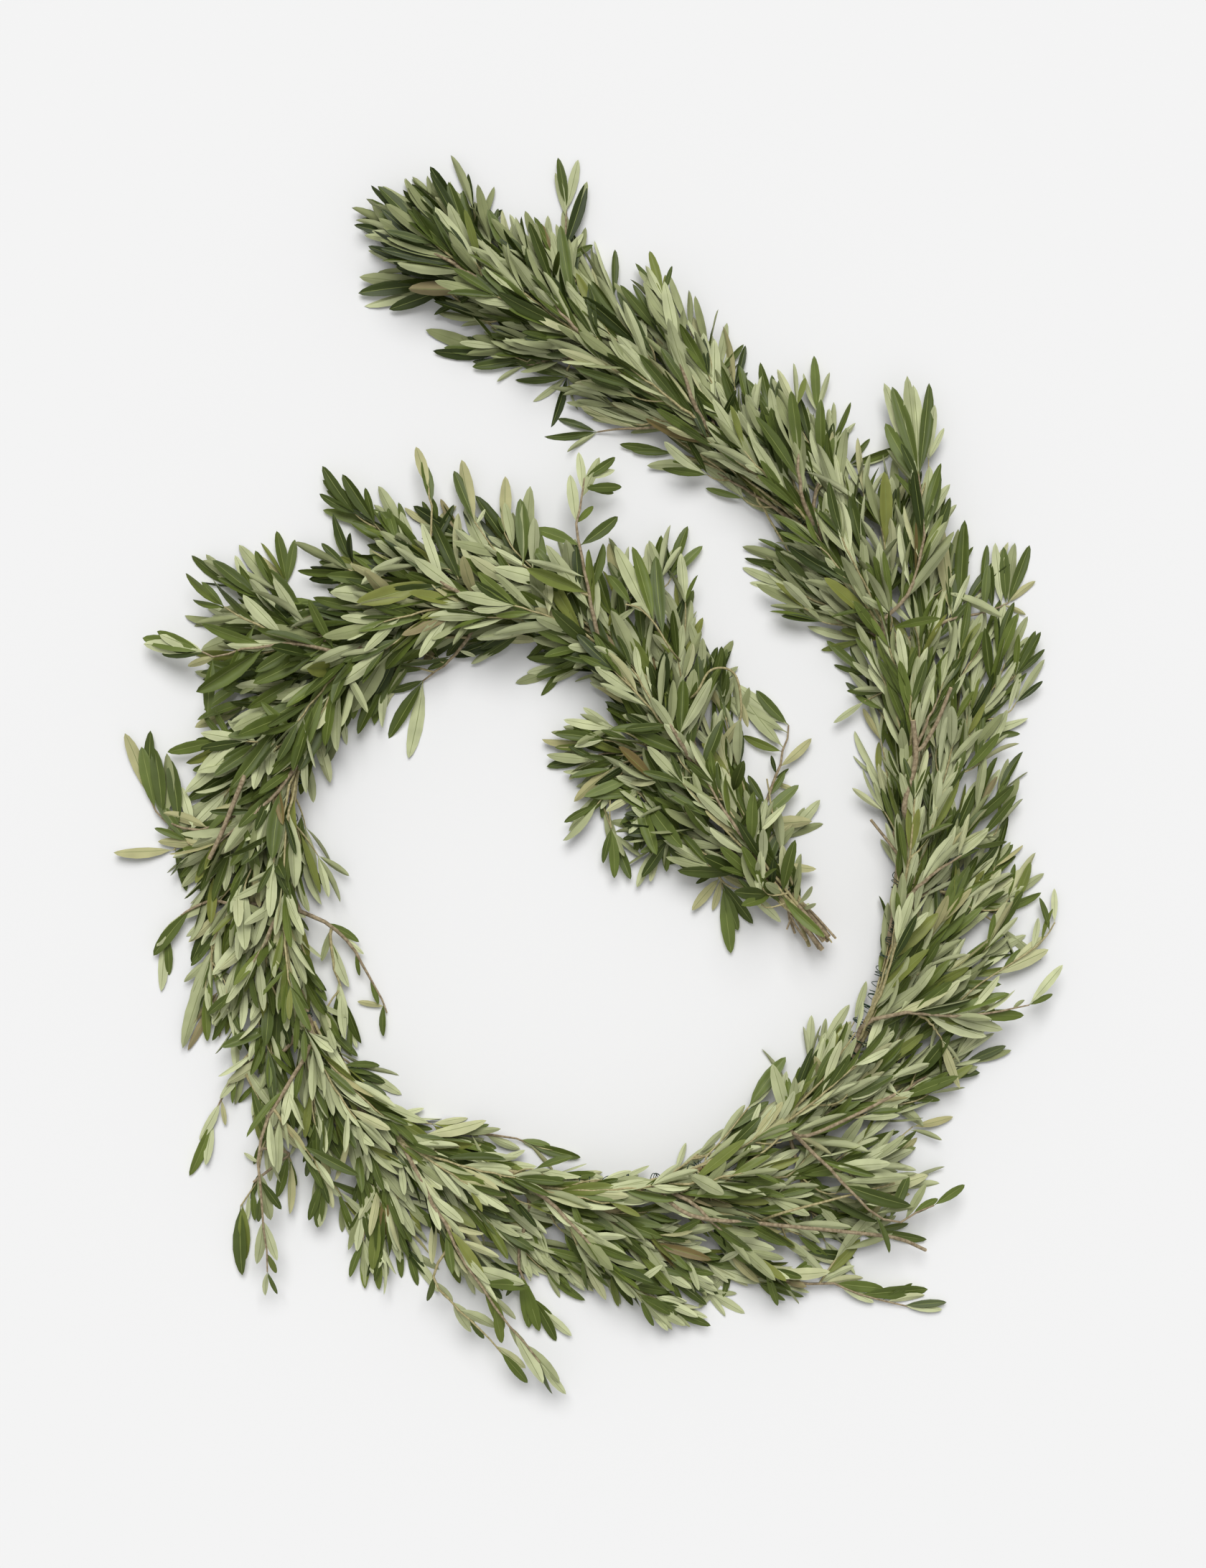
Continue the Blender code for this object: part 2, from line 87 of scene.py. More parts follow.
# Where the last leaf of each main shoot points to: a list for each branch, with its longest shoot first
shootTips = [
    {"outer": [(1025, 957), (1134, 1033)], "crown": [(945, 985)],
     "inner": [(848, 1148), (1018, 1328)], "below": [(1138, 1110)]},
    {"outer": [(1000, 880)], "crown": [(862, 900)], "inner": [(758, 1050), (785, 1175)]},
    {"outer": [(938, 732), (862, 758)], "crown": [(812, 630), (740, 678)], "inner": [(720, 955)]},
    {"outer": [(459, 657), (636, 642)], "crown": [(508, 700), (580, 622)],
     "inner": [(576, 1056), (530, 1010)]},
    {"outer": [(260, 777), (370, 742)], "crown": [(195, 889), (245, 822)], "inner": [(280, 985)]},
    {"outer": [(178, 1019), (166, 1190)], "crown": [(240, 1230), (445, 1195)]},
    {"outer": [(207, 1326), (247, 1462)], "crown": [(301, 1445), (385, 1440)],
     "inner": [(539, 1413), (478, 1379)]},
    {"outer": [(265, 1640), (327, 1778)], "crown": [(382, 1797), (440, 1712)], "inner": [(556, 1530)]},
    {"outer": [(502, 1797), (599, 1811)], "crown": [(784, 1942), (652, 1854)], "inner": [(804, 1626)]},
    {"outer": [(793, 1867)], "crown": [(950, 1850), (843, 1814)], "inner": [(912, 1655)]},
    {"outer": [(1322, 1817), (1015, 1838)], "crown": [(1130, 1800)]},
    {"outer": [(1290, 1742), (1205, 1780)], "crown": [(1345, 1650), (1281, 1582)],
     "inner": [(1170, 1395), (1085, 1482)]},
    {"outer": [(1410, 1465), (1280, 1555)], "crown": [(1482, 1345), (1365, 1490)]},
    {"outer": [(1475, 1240), (1466, 1300)], "crown": [(1403, 1125)], "inner": [(1188, 1020)]},
    {"outer": [(1425, 985), (1434, 857)], "crown": [(1335, 890), (1200, 905)]},
    {"outer": [(1443, 805), (1410, 755)], "crown": [(1264, 527), (1318, 672)],
     "inner": [(1065, 838), (1036, 783)]},
    {"outer": [(1176, 553), (1229, 590)], "crown": [(1103, 493)], "inner": [(960, 672), (1038, 753)]},
    {"outer": [(1003, 445), (1045, 498)], "crown": [(893, 350)], "inner": [(756, 603), (863, 618)]},
    {"outer": [(795, 215), (745, 304)], "crown": [(700, 330)], "inner": [(657, 510), (773, 565)]},
    {"outer": [(570, 246), (670, 254)], "crown": [(487, 303), (512, 262)],
     "inner": [(499, 379), (602, 494)]},
]

# A pixel that a shoot passes on its way to a tip, where it doesn't swing there in one bend
byWayOf = {
    (804, 1626): (690, 1582),
    (1290, 1742): (1140, 1680),
}

# Sprays that lie free at the edge: the pixels their stem passes up to its end, and each leaf's root and
# tip with the side that it shows
sprays = {
    (1025, 957): {"way": [(1056, 1150), (1068, 1115), (1083, 1076), (1093, 1046), (1100, 1010)], "leaves": [
        (1098, 1010, 1020, 957, "under"), (1095, 1020, 1002, 967, "under"),
        (1090, 1042, 1028, 970, "under"), (1099, 1008, 1050, 966, "upper"),
        (1086, 1047, 1034, 1030, "upper"), (1085, 1070, 1135, 1033, "tan"),
        (1081, 1078, 1075, 1052, "upper"), (1072, 1108, 1097, 1077, "upper"),
        (1066, 1120, 1042, 1080, "upper"), (1063, 1140, 1113, 1093, "upper"),
        (1056, 1150, 1131, 1137, "tan"), (1055, 1185, 1105, 1146, "tan"),
        (1060, 1195, 1110, 1156, "under"), (1050, 1183, 1040, 1123, "under"),
        (1043, 1183, 1008, 1122, "under"), (1065, 1211, 1138, 1211, "tan"),
        (1062, 1208, 1018, 1211, "under")]},
    (1134, 1033): {"way": [(1066, 1122), (1080, 1084)], "leaves": [
        (1080, 1084, 1100, 1070, "upper"), (1078, 1090, 1108, 1100, "tan")]},
    (1018, 1328): {"way": [(985, 1192), (1000, 1213), (1008, 1237)], "leaves": [
        (1008, 1237, 1020, 1329, "upper"), (1009, 1237, 1030, 1297, "upper"),
        (1003, 1222, 963, 1267, "tan"), (1004, 1225, 997, 1270, "tan"), (1000, 1213, 970, 1232, "upper"),
        (1005, 1218, 1048, 1240, "tan"), (1006, 1228, 1051, 1287, "upper")]},
    (576, 1056): {"way": [(665, 868), (640, 905), (612, 930), (588, 947)], "leaves": [
        (588, 947, 539, 1028, "upper"), (588, 948, 576, 1057, "under"), (590, 945, 540, 968, "upper"),
        (625, 912, 595, 932, "upper"), (640, 905, 662, 914, "under")]},
    (530, 1010): {"way": [(600, 884), (550, 884), (522, 899)], "leaves": [
        (522, 899, 529, 1009, "upper")]},
    (178, 1019): {"way": [(300, 1150), (240, 1150), (213, 1128), (203, 1108)], "leaves": [
        (203, 1110, 178, 1019, "tan"), (203, 1108, 206, 1017, "upper"), (204, 1106, 202, 1038, "under"),
        (214, 1128, 193, 1040, "upper"), (226, 1140, 220, 1041, "upper"), (228, 1141, 238, 1050, "under"),
        (246, 1150, 242, 1056, "upper"), (290, 1150, 228, 1126, "tan"), (270, 1150, 250, 1095, "under")]},
    (166, 1190): {"way": [(330, 1165), (300, 1178), (255, 1172), (240, 1184)], "leaves": [
        (240, 1186, 156, 1190, "tan"), (290, 1170, 217, 1172, "tan"), (242, 1180, 238, 1148, "tan"),
        (243, 1184, 262, 1240, "upper"), (262, 1174, 285, 1196, "under")]},
    (195, 889): {"way": [(420, 900), (350, 906), (300, 915), (283, 908)], "leaves": [
        (284, 908, 195, 889, "upper"), (284, 909, 200, 896, "under"), (285, 908, 219, 880, "upper"),
        (290, 910, 226, 884, "under"), (288, 911, 226, 912, "upper"), (305, 915, 262, 928, "tan")]},
    (280, 985): {"way": [(415, 975), (380, 955), (330, 943)], "leaves": [
        (332, 943, 268, 940, "under"), (335, 944, 277, 958, "upper"), (345, 947, 279, 984, "upper"),
        (360, 950, 338, 900, "tan")]},
    (207, 1326): {"way": [(372, 1258), (335, 1258), (295, 1256), (258, 1270), (224, 1305)], "leaves": [
        (262, 1262, 206, 1327, "upper"), (258, 1266, 214, 1316, "under"), (224, 1305, 227, 1382, "under"),
        (230, 1297, 235, 1360, "upper"), (285, 1250, 265, 1310, "under")]},
    (247, 1462): {"way": [(318, 1270), (300, 1300), (293, 1335), (298, 1362), (304, 1384)], "leaves": [
        (304, 1384, 302, 1447, "brown"), (303, 1383, 258, 1465, "brown"), (302, 1380, 262, 1428, "brown"),
        (293, 1335, 244, 1458, "under"), (294, 1325, 262, 1418, "under"),
        (297, 1312, 264, 1347, "upper")]},
    (265, 1640): {"way": [(402, 1460), (365, 1470), (334, 1492), (306, 1532), (294, 1562)], "leaves": [
        (294, 1562, 268, 1643, "upper"), (295, 1560, 283, 1625, "under"), (304, 1535, 279, 1592, "under"),
        (306, 1532, 311, 1570, "tan"), (325, 1498, 320, 1538, "upper"), (334, 1480, 305, 1530, "under")]},
    (327, 1778): {"way": [(370, 1560), (362, 1610), (356, 1645), (345, 1668), (334, 1684)], "leaves": [
        (334, 1684, 328, 1779, "upper"), (336, 1683, 338, 1733, "under"), (338, 1680, 341, 1760, "upper"),
        (350, 1660, 353, 1703, "upper"), (346, 1667, 341, 1704, "under"), (360, 1620, 336, 1610, "under"),
        (358, 1635, 350, 1675, "upper")]},
    (382, 1797): {"way": [(375, 1560), (366, 1620), (368, 1660), (371, 1710), (375, 1768)], "leaves": [
        (366, 1625, 378, 1698, "under"), (372, 1695, 384, 1752, "under"), (375, 1768, 366, 1803, "under"),
        (375, 1766, 387, 1802, "upper"), (373, 1740, 386, 1772, "upper"), (369, 1690, 365, 1760, "under"),
        (367, 1640, 394, 1682, "upper"), (368, 1655, 362, 1700, "upper")]},
    (440, 1712): {"way": [(408, 1575), (438, 1608), (452, 1642)], "leaves": [
        (450, 1640, 431, 1700, "upper"), (452, 1642, 443, 1713, "upper"), (453, 1640, 451, 1710, "under"),
        (446, 1620, 463, 1680, "under"), (440, 1600, 430, 1640, "upper")]},
    (539, 1413): {"way": [(420, 1270), (455, 1284), (485, 1312), (508, 1350), (538, 1412)], "leaves": [
        (462, 1268, 502, 1308, "upper"), (514, 1362, 526, 1400, "upper"), (534, 1404, 496, 1396, "tan"),
        (531, 1400, 529, 1445, "upper"), (495, 1325, 500, 1360, "upper"),
        (480, 1297, 506, 1330, "under")]},
    (478, 1379): {"way": [(462, 1330), (470, 1365), (480, 1400), (488, 1432)], "leaves": [
        (450, 1308, 478, 1378, "under"), (452, 1312, 470, 1350, "upper"), (468, 1365, 478, 1440, "under"),
        (478, 1395, 498, 1456, "upper"), (487, 1430, 493, 1462, "under"),
        (440, 1285, 446, 1340, "under")]},
    (1482, 1345): {"way": [(1262, 1408), (1320, 1412), (1375, 1408), (1432, 1398)], "leaves": [
        (1434, 1398, 1481, 1344, "under"), (1435, 1399, 1466, 1384, "upper"),
        (1405, 1404, 1426, 1390, "under"), (1385, 1408, 1345, 1396, "tan"),
        (1345, 1411, 1424, 1412, "upper"), (1310, 1412, 1395, 1434, "under"),
        (1285, 1411, 1368, 1450, "under")]},
    (1475, 1240): {"way": [(1300, 1240), (1350, 1262), (1390, 1274)], "leaves": [
        (1390, 1274, 1455, 1248, "upper"), (1375, 1270, 1430, 1236, "under"),
        (1350, 1262, 1408, 1238, "upper"), (1330, 1253, 1380, 1215, "under")]},
    (1410, 1465): {"way": [(1226, 1540), (1272, 1512), (1318, 1490), (1350, 1482)], "leaves": [
        (1350, 1482, 1412, 1465, "under"), (1346, 1480, 1404, 1458, "upper"),
        (1290, 1500, 1367, 1489, "upper"), (1282, 1531, 1365, 1488, "under"),
        (1262, 1547, 1312, 1529, "upper"), (1284, 1502, 1336, 1491, "under"),
        (1278, 1532, 1316, 1504, "under"), (1300, 1482, 1366, 1455, "under"),
        (1240, 1552, 1277, 1533, "tan")]},
    (1345, 1650): {"way": [(1222, 1690), (1270, 1684), (1298, 1675)], "leaves": [
        (1298, 1675, 1345, 1648, "upper"), (1262, 1683, 1304, 1664, "upper"),
        (1252, 1684, 1290, 1648, "under"), (1238, 1680, 1265, 1632, "upper")]},
    (1322, 1817): {"way": [(1040, 1762), (1110, 1788), (1160, 1790), (1205, 1808), (1268, 1823)], "leaves": [
        (1165, 1790, 1233, 1797, "upper"), (1172, 1795, 1219, 1818, "under"),
        (1200, 1806, 1296, 1799, "upper"), (1240, 1816, 1290, 1804, "under"),
        (1262, 1821, 1321, 1817, "upper"), (1258, 1822, 1315, 1828, "under"),
        (1136, 1788, 1190, 1762, "under"), (1150, 1789, 1204, 1779, "under"),
        (1230, 1812, 1273, 1790, "upper")]},
    (784, 1942): {"way": [(640, 1735), (672, 1785), (704, 1832), (732, 1865), (752, 1893)], "leaves": [
        (752, 1893, 784, 1943, "under"), (751, 1892, 767, 1945, "upper"), (733, 1866, 777, 1922, "under"),
        (706, 1835, 744, 1899, "under"), (715, 1846, 755, 1922, "under"), (676, 1790, 718, 1836, "under"),
        (674, 1788, 708, 1850, "upper"), (645, 1742, 676, 1801, "under"), (660, 1765, 705, 1803, "upper"),
        (655, 1757, 728, 1787, "under"), (670, 1780, 740, 1784, "upper"),
        (690, 1812, 700, 1868, "upper")]},
    (652, 1854): {"way": [(606, 1768), (630, 1808), (662, 1840), (698, 1878)], "leaves": [
        (698, 1878, 738, 1927, "upper"), (690, 1870, 732, 1906, "under"), (632, 1810, 652, 1855, "under"),
        (655, 1833, 675, 1863, "upper"), (630, 1806, 667, 1845, "under"), (640, 1816, 695, 1844, "under"),
        (612, 1778, 631, 1812, "under"), (608, 1770, 600, 1812, "upper")]},
    (793, 1867): {"way": [(736, 1664), (730, 1710), (722, 1762), (738, 1806), (758, 1834)], "leaves": [
        (752, 1824, 793, 1867, "under"), (744, 1814, 779, 1870, "upper"), (726, 1780, 752, 1857, "upper"),
        (724, 1776, 744, 1852, "upper"), (740, 1808, 776, 1846, "upper"),
        (724, 1770, 708, 1810, "upper")]},
    (1264, 527): {"way": [(1262, 830), (1280, 765), (1279, 705), (1277, 662)], "leaves": [
        (1276, 650, 1232, 533, "under"), (1276, 640, 1251, 537, "upper"), (1277, 640, 1265, 527, "under"),
        (1277, 662, 1280, 538, "under"), (1279, 665, 1297, 530, "upper"), (1279, 690, 1268, 650, "upper"),
        (1262, 680, 1228, 590, "upper"), (1268, 712, 1247, 660, "upper"), (1283, 742, 1270, 668, "upper"),
        (1283, 760, 1294, 650, "under"), (1286, 745, 1308, 648, "upper"),
        (1289, 735, 1318, 672, "under")]},
    (1443, 805): {"way": [(1275, 885), (1330, 862), (1375, 852), (1408, 838)], "leaves": [
        (1398, 840, 1389, 755, "under"), (1404, 838, 1400, 760, "upper"), (1407, 838, 1411, 754, "under"),
        (1410, 838, 1437, 757, "upper"), (1385, 848, 1377, 783, "upper"), (1408, 838, 1443, 805, "tan"),
        (1400, 842, 1433, 853, "tan"), (1325, 815, 1345, 723, "upper"), (1316, 822, 1326, 752, "upper"),
        (1314, 812, 1308, 712, "tan"), (1372, 855, 1378, 784, "upper")]},
    (812, 630): {"way": [(815, 800), (806, 762), (804, 730), (810, 695), (815, 668)], "leaves": [
        (805, 735, 795, 662, "under"), (810, 685, 811, 632, "under"), (812, 700, 836, 638, "under"),
        (816, 668, 857, 655, "under"), (816, 668, 859, 642, "upper"), (813, 682, 866, 678, "upper"),
        (814, 678, 855, 687, "upper"), (805, 735, 826, 706, "upper"), (806, 765, 864, 727, "upper"),
        (806, 762, 748, 733, "upper")]},
    (740, 678): {"way": [(775, 815), (728, 788)], "leaves": [
        (728, 788, 740, 677, "under"), (730, 789, 733, 695, "upper")]},
    (580, 622): {"way": [(600, 760), (603, 715), (598, 680)], "leaves": [
        (598, 680, 580, 622, "tan"), (613, 703, 594, 643, "upper"), (604, 690, 613, 722, "upper")]},
    (636, 642): {"way": [(592, 765), (604, 730)], "leaves": [
        (604, 730, 590, 695, "upper"), (603, 732, 560, 708, "tan"), (604, 730, 632, 700, "tan")]},
    (960, 672): {"way": [(1085, 712), (1030, 675), (985, 648)], "leaves": [
        (985, 648, 902, 640, "under"), (990, 650, 915, 645, "upper")]},
    (863, 618): {"way": [(1010, 655), (965, 635), (932, 626)], "leaves": [
        (932, 626, 863, 617, "upper"), (940, 628, 880, 626, "upper")]},
    (1038, 753): {"way": [(1114, 790)], "leaves": [
        (1114, 790, 1038, 753, "under"), (1110, 797, 1037, 782, "upper"),
        (1098, 772, 1058, 747, "upper")]},
    (499, 379): {"way": [(668, 412), (630, 402), (600, 394)], "leaves": [
        (600, 394, 500, 379, "under"), (575, 400, 497, 397, "upper"), (612, 400, 538, 406, "under"),
        (600, 408, 507, 427, "under"), (618, 418, 541, 429, "upper"), (655, 448, 602, 436, "upper"),
        (640, 408, 570, 398, "upper")]},
    (602, 494): {"way": [(742, 500), (715, 494), (692, 490)], "leaves": [
        (692, 488, 592, 455, "under"), (692, 494, 602, 494, "upper"), (682, 484, 617, 482, "upper"),
        (728, 500, 657, 509, "upper"), (700, 490, 640, 470, "under")]},
    (795, 215): {"way": [(770, 400), (783, 360), (788, 320), (788, 290)], "leaves": [
        (788, 290, 782, 215, "upper"), (788, 330, 821, 252, "under"), (789, 290, 806, 218, "under"),
        (786, 345, 822, 255, "upper"), (788, 300, 778, 236, "under"), (800, 374, 813, 322, "under"),
        (808, 376, 826, 336, "upper"), (790, 352, 800, 304, "upper")]},
}

# Tips of the smaller sprigs along the edge of the foliage, where no spray lies
edgeTips = [
    (490, 285), (512, 340), (556, 265), (600, 230), (630, 212), (715, 305), (763, 322), (887, 363),
    (965, 412), (992, 474), (1071, 520), (1128, 494), (1161, 557), (1452, 880), (1054, 812), (1075, 840),
    (1196, 1073), (1415, 1145), (1443, 1203), (1277, 1598), (1130, 1415), (1040, 1832), (990, 1850),
    (816, 1798), (544, 1803), (288, 772), (300, 775), (330, 757), (477, 1255), (433, 715), (438, 656),
    (473, 662), (521, 678), (955, 730), (998, 878), (755, 1025), (761, 1054), (880, 1232), (892, 1221),
    (1297, 565), (953, 1850), (972, 1836), (958, 1815), (940, 1800), (1225, 1690), (935, 730), (950, 770),
    (925, 745), (944, 800), (505, 1795), (528, 1800), (498, 1745), (880, 1225), (866, 1222), (985, 1842),
    (1000, 1800), (1120, 1812), (1448, 880), (1290, 1465), (960, 1800), (985, 1820), (785, 1172),
    (800, 1150), (812, 1138), (796, 1112), (785, 1003), (772, 1020), (500, 283), (528, 262), (560, 270),
    (672, 255), (690, 300),
]

# Which way the leaves point at spots over the view, in degrees anticlockwise from the right
lies = {
    # The head and the upper right
    (515, 280): 157, (515, 330): 160, (520, 400): 182, (530, 430): 190, (600, 265): 138, (640, 230): 120,
    (600, 340): 146, (600, 400): 157, (640, 480): 170, (680, 270): 124, (720, 320): 116, (680, 430): 145,
    (720, 520): 173, (760, 470): 150, (800, 250): 90, (800, 360): 106, (850, 360): 140, (830, 420): 118,
    (800, 560): 160, (760, 600): 195, (870, 600): 167, (850, 510): 145, (920, 400): 118, (960, 450): 110,
    (900, 500): 126, (930, 590): 133, (960, 650): 142, (1010, 500): 112, (1000, 600): 127,
    (1050, 530): 118, (1040, 690): 130, (1110, 500): 95, (1080, 600): 118, (1160, 560): 90,
    (1120, 670): 120, (1200, 650): 88, (1240, 600): 108, (1280, 560): 90, (1280, 680): 87,
    (1235, 700): 101, (1190, 740): 95, (1140, 760): 118, (1070, 760): 152, (1070, 820): 152,
    (1150, 810): 154, (1160, 870): 127, (1210, 850): 140, (1230, 780): 118, (1290, 770): 90,
    (1330, 740): 80, (1360, 800): 62, (1400, 770): 90, (1425, 820): 68, (1320, 870): 76, (1365, 900): 77,
    (1405, 890): 84, (1440, 910): 68, (1220, 930): 122, (1280, 930): 84,
    # Down the right side to the lower right
    (1180, 1000): 176, (1240, 980): 100, (1290, 990): 80, (1350, 990): 79, (1405, 1010): 68,
    (1205, 1060): 128, (1240, 1080): 115, (1280, 1080): 93, (1330, 1090): 82, (1390, 1090): 74,
    (1280, 1170): 102, (1320, 1170): 84, (1365, 1180): 72, (1410, 1170): 85, (1275, 1250): 95,
    (1320, 1250): 64, (1370, 1260): 60, (1420, 1250): 66, (1470, 1280): 78, (1240, 1300): 92,
    (1290, 1330): 54, (1340, 1330): 48, (1400, 1330): 42, (1450, 1320): 44, (1475, 1365): 55,
    (1240, 1400): 56, (1300, 1400): 43, (1360, 1400): 34, (1420, 1410): 30, (1230, 1450): 52,
    (1290, 1450): 42, (1350, 1450): 28, (1395, 1470): 20, (1340, 1500): 28, (1090, 1440): 128,
    (1080, 1490): 55, (1130, 1470): 130, (1175, 1430): 92, (1140, 1510): 72, (1190, 1520): 53,
    (1260, 1510): 34, (1040, 1540): 50, (1110, 1570): 50, (1170, 1570): 36, (1240, 1560): 38,
    (960, 1600): 44, (1040, 1620): 38, (1120, 1620): 42, (1190, 1610): 46, (1260, 1590): 55,
    (1150, 1660): 28, (1250, 1660): 50, (1320, 1660): 30, (960, 1660): 14, (1050, 1670): 8,
    (1180, 1690): 14, (1250, 1700): 18, (1120, 1720): -6, (1200, 1730): 5, (1080, 1760): -4,
    (1180, 1770): 8, (1110, 1800): -18, (1220, 1800): -5, (1300, 1815): 3,
    # The bottom and up the left side
    (860, 1640): 4, (860, 1690): -9, (940, 1720): -10, (1000, 1760): -18, (960, 1800): -32,
    (1010, 1830): -12, (930, 1840): -24, (870, 1740): -20, (840, 1790): -37, (780, 1650): 0,
    (770, 1700): -16, (790, 1750): -30, (740, 1600): -24, (660, 1590): -22, (700, 1650): -16,
    (720, 1740): -38, (740, 1810): -48, (780, 1850): -52, (760, 1910): -60, (700, 1860): -48,
    (640, 1820): -50, (660, 1760): -42, (640, 1700): -48, (620, 1640): -36, (600, 1760): -74,
    (600, 1700): -68, (560, 1590): -22, (570, 1640): -62, (540, 1720): -75, (500, 1780): -78,
    (510, 1690): -70, (510, 1620): -55, (520, 1530): -30, (470, 1520): -44, (470, 1590): -60,
    (460, 1650): -72, (440, 1690): -98, (420, 1560): -76, (400, 1640): -90, (380, 1760): -86,
    (330, 1740): -90, (360, 1560): -91, (275, 1610): -106, (310, 1520): -102, (340, 1450): -96,
    (270, 1420): -120, (290, 1350): -106, (350, 1370): -88, (410, 1450): -68, (460, 1440): -52,
    (510, 1470): -48, (410, 1360): -62, (440, 1290): -68, (480, 1290): -60, (520, 1370): -68,
    (400, 1280): -84, (350, 1290): -98, (290, 1280): -120, (230, 1310): -118, (215, 1360): -76,
    (310, 1210): -110, (360, 1200): -105, (430, 1210): -74, (260, 1210): -140, (190, 1190): 180,
    (300, 1140): -140, (360, 1120): -95, (400, 1090): -100, (440, 1090): -100, (200, 1060): 98,
    (240, 1070): 94, (290, 1080): -120,
    # The top of the loop
    (430, 1030): -108, (480, 1000): -118, (400, 990): -142, (350, 1020): -160, (280, 1035): -158,
    (330, 970): -172, (450, 950): -147, (390, 930): 178, (290, 920): 174, (220, 900): 168,
    (520, 920): -152, (600, 920): -146, (555, 1010): -118, (580, 1030): -96, (530, 960): -88,
    (420, 880): 172, (340, 890): 175, (270, 840): 168, (300, 790): 126, (360, 780): 110, (400, 790): 142,
    (460, 830): 182, (540, 860): 177, (440, 720): 132, (500, 800): 172, (450, 670): 118, (475, 680): 115,
    (520, 690): 104, (560, 730): 142, (600, 670): 118, (640, 680): 110, (600, 800): 172, (660, 760): 150,
    (680, 840): 170, (640, 870): 205, (705, 670): 88, (740, 700): 86, (740, 760): 112, (740, 810): 140,
    (740, 880): 180, (740, 920): 205, (800, 670): 82, (845, 670): 30, (800, 750): 92, (790, 820): 108,
    (840, 820): 98, (870, 750): 112, (900, 820): 112,
    # The tail
    (800, 880): 112, (940, 750): 82, (960, 830): 90, (870, 900): 100, (930, 900): 108, (990, 890): 85,
    (960, 960): 72, (810, 930): 190, (800, 995): 200, (770, 1045): 165, (860, 960): 160, (920, 990): 104,
    (870, 1050): 155, (960, 1040): 94, (1010, 1020): 88, (1060, 980): 142, (1110, 1050): 42,
    (1085, 1090): 60, (800, 1130): -106, (870, 1110): 140, (940, 1100): 124, (1010, 1100): 98,
    (1100, 1140): 30, (1110, 1215): 2, (930, 1150): 142, (1010, 1170): 140, (1060, 1170): 75,
    (870, 1200): -58, (940, 1220): -50, (975, 1240): -110, (1020, 1290): -84, (1050, 1260): -66,
}

# Spots that no leaf covers, with their radius in pixels: gaps between sprays, and bare necks
openSpots = {
    (1055, 1062): 26, (1062, 1098): 14, (1065, 1000): 26, (1438, 1268): 26, (1452, 1300): 14,
    (1440, 1360): 16, (1425, 1380): 12, (1378, 1452): 10, (300, 1560): 16, (300, 1600): 22,
    (300, 1650): 24, (310, 1690): 14, (420, 1600): 10, (422, 1640): 14, (322, 1570): 10, (330, 1640): 14,
    (350, 1730): 14, (300, 1740): 20, (415, 1690): 22, (355, 1690): 10, (472, 1330): 12, (480, 1390): 10,
    (490, 1290): 12, (252, 1120): 12, (224, 1220): 14, (225, 1270): 12, (1095, 1312): 20, (435, 1135): 18,
    (312, 972): 16, (570, 960): 22, (610, 960): 22, (560, 1040): 10, (680, 1880): 14, (1150, 1735): 14,
    (1110, 1722): 8, (1240, 1755): 18, (1140, 1640): 8, (1015, 1090): 8, (830, 720): 20, (860, 710): 18,
    (770, 715): 12, (1200, 1445): 13, (1205, 1420): 13, (1214, 1395): 12, (1222, 1370): 10,
    (990, 1612): 10, (975, 1622): 8, (405, 1112): 12, (1292, 1550): 16, (1282, 1620): 14, (718, 908): 14,
    (828, 976): 14, (815, 1158): 14, (993, 885): 14, (438, 735): 16, (484, 682): 10, (560, 432): 10,
    (645, 456): 10, (720, 1582): 8, (1034, 1487): 14, (1045, 1519): 10, (870, 655): 12,
}

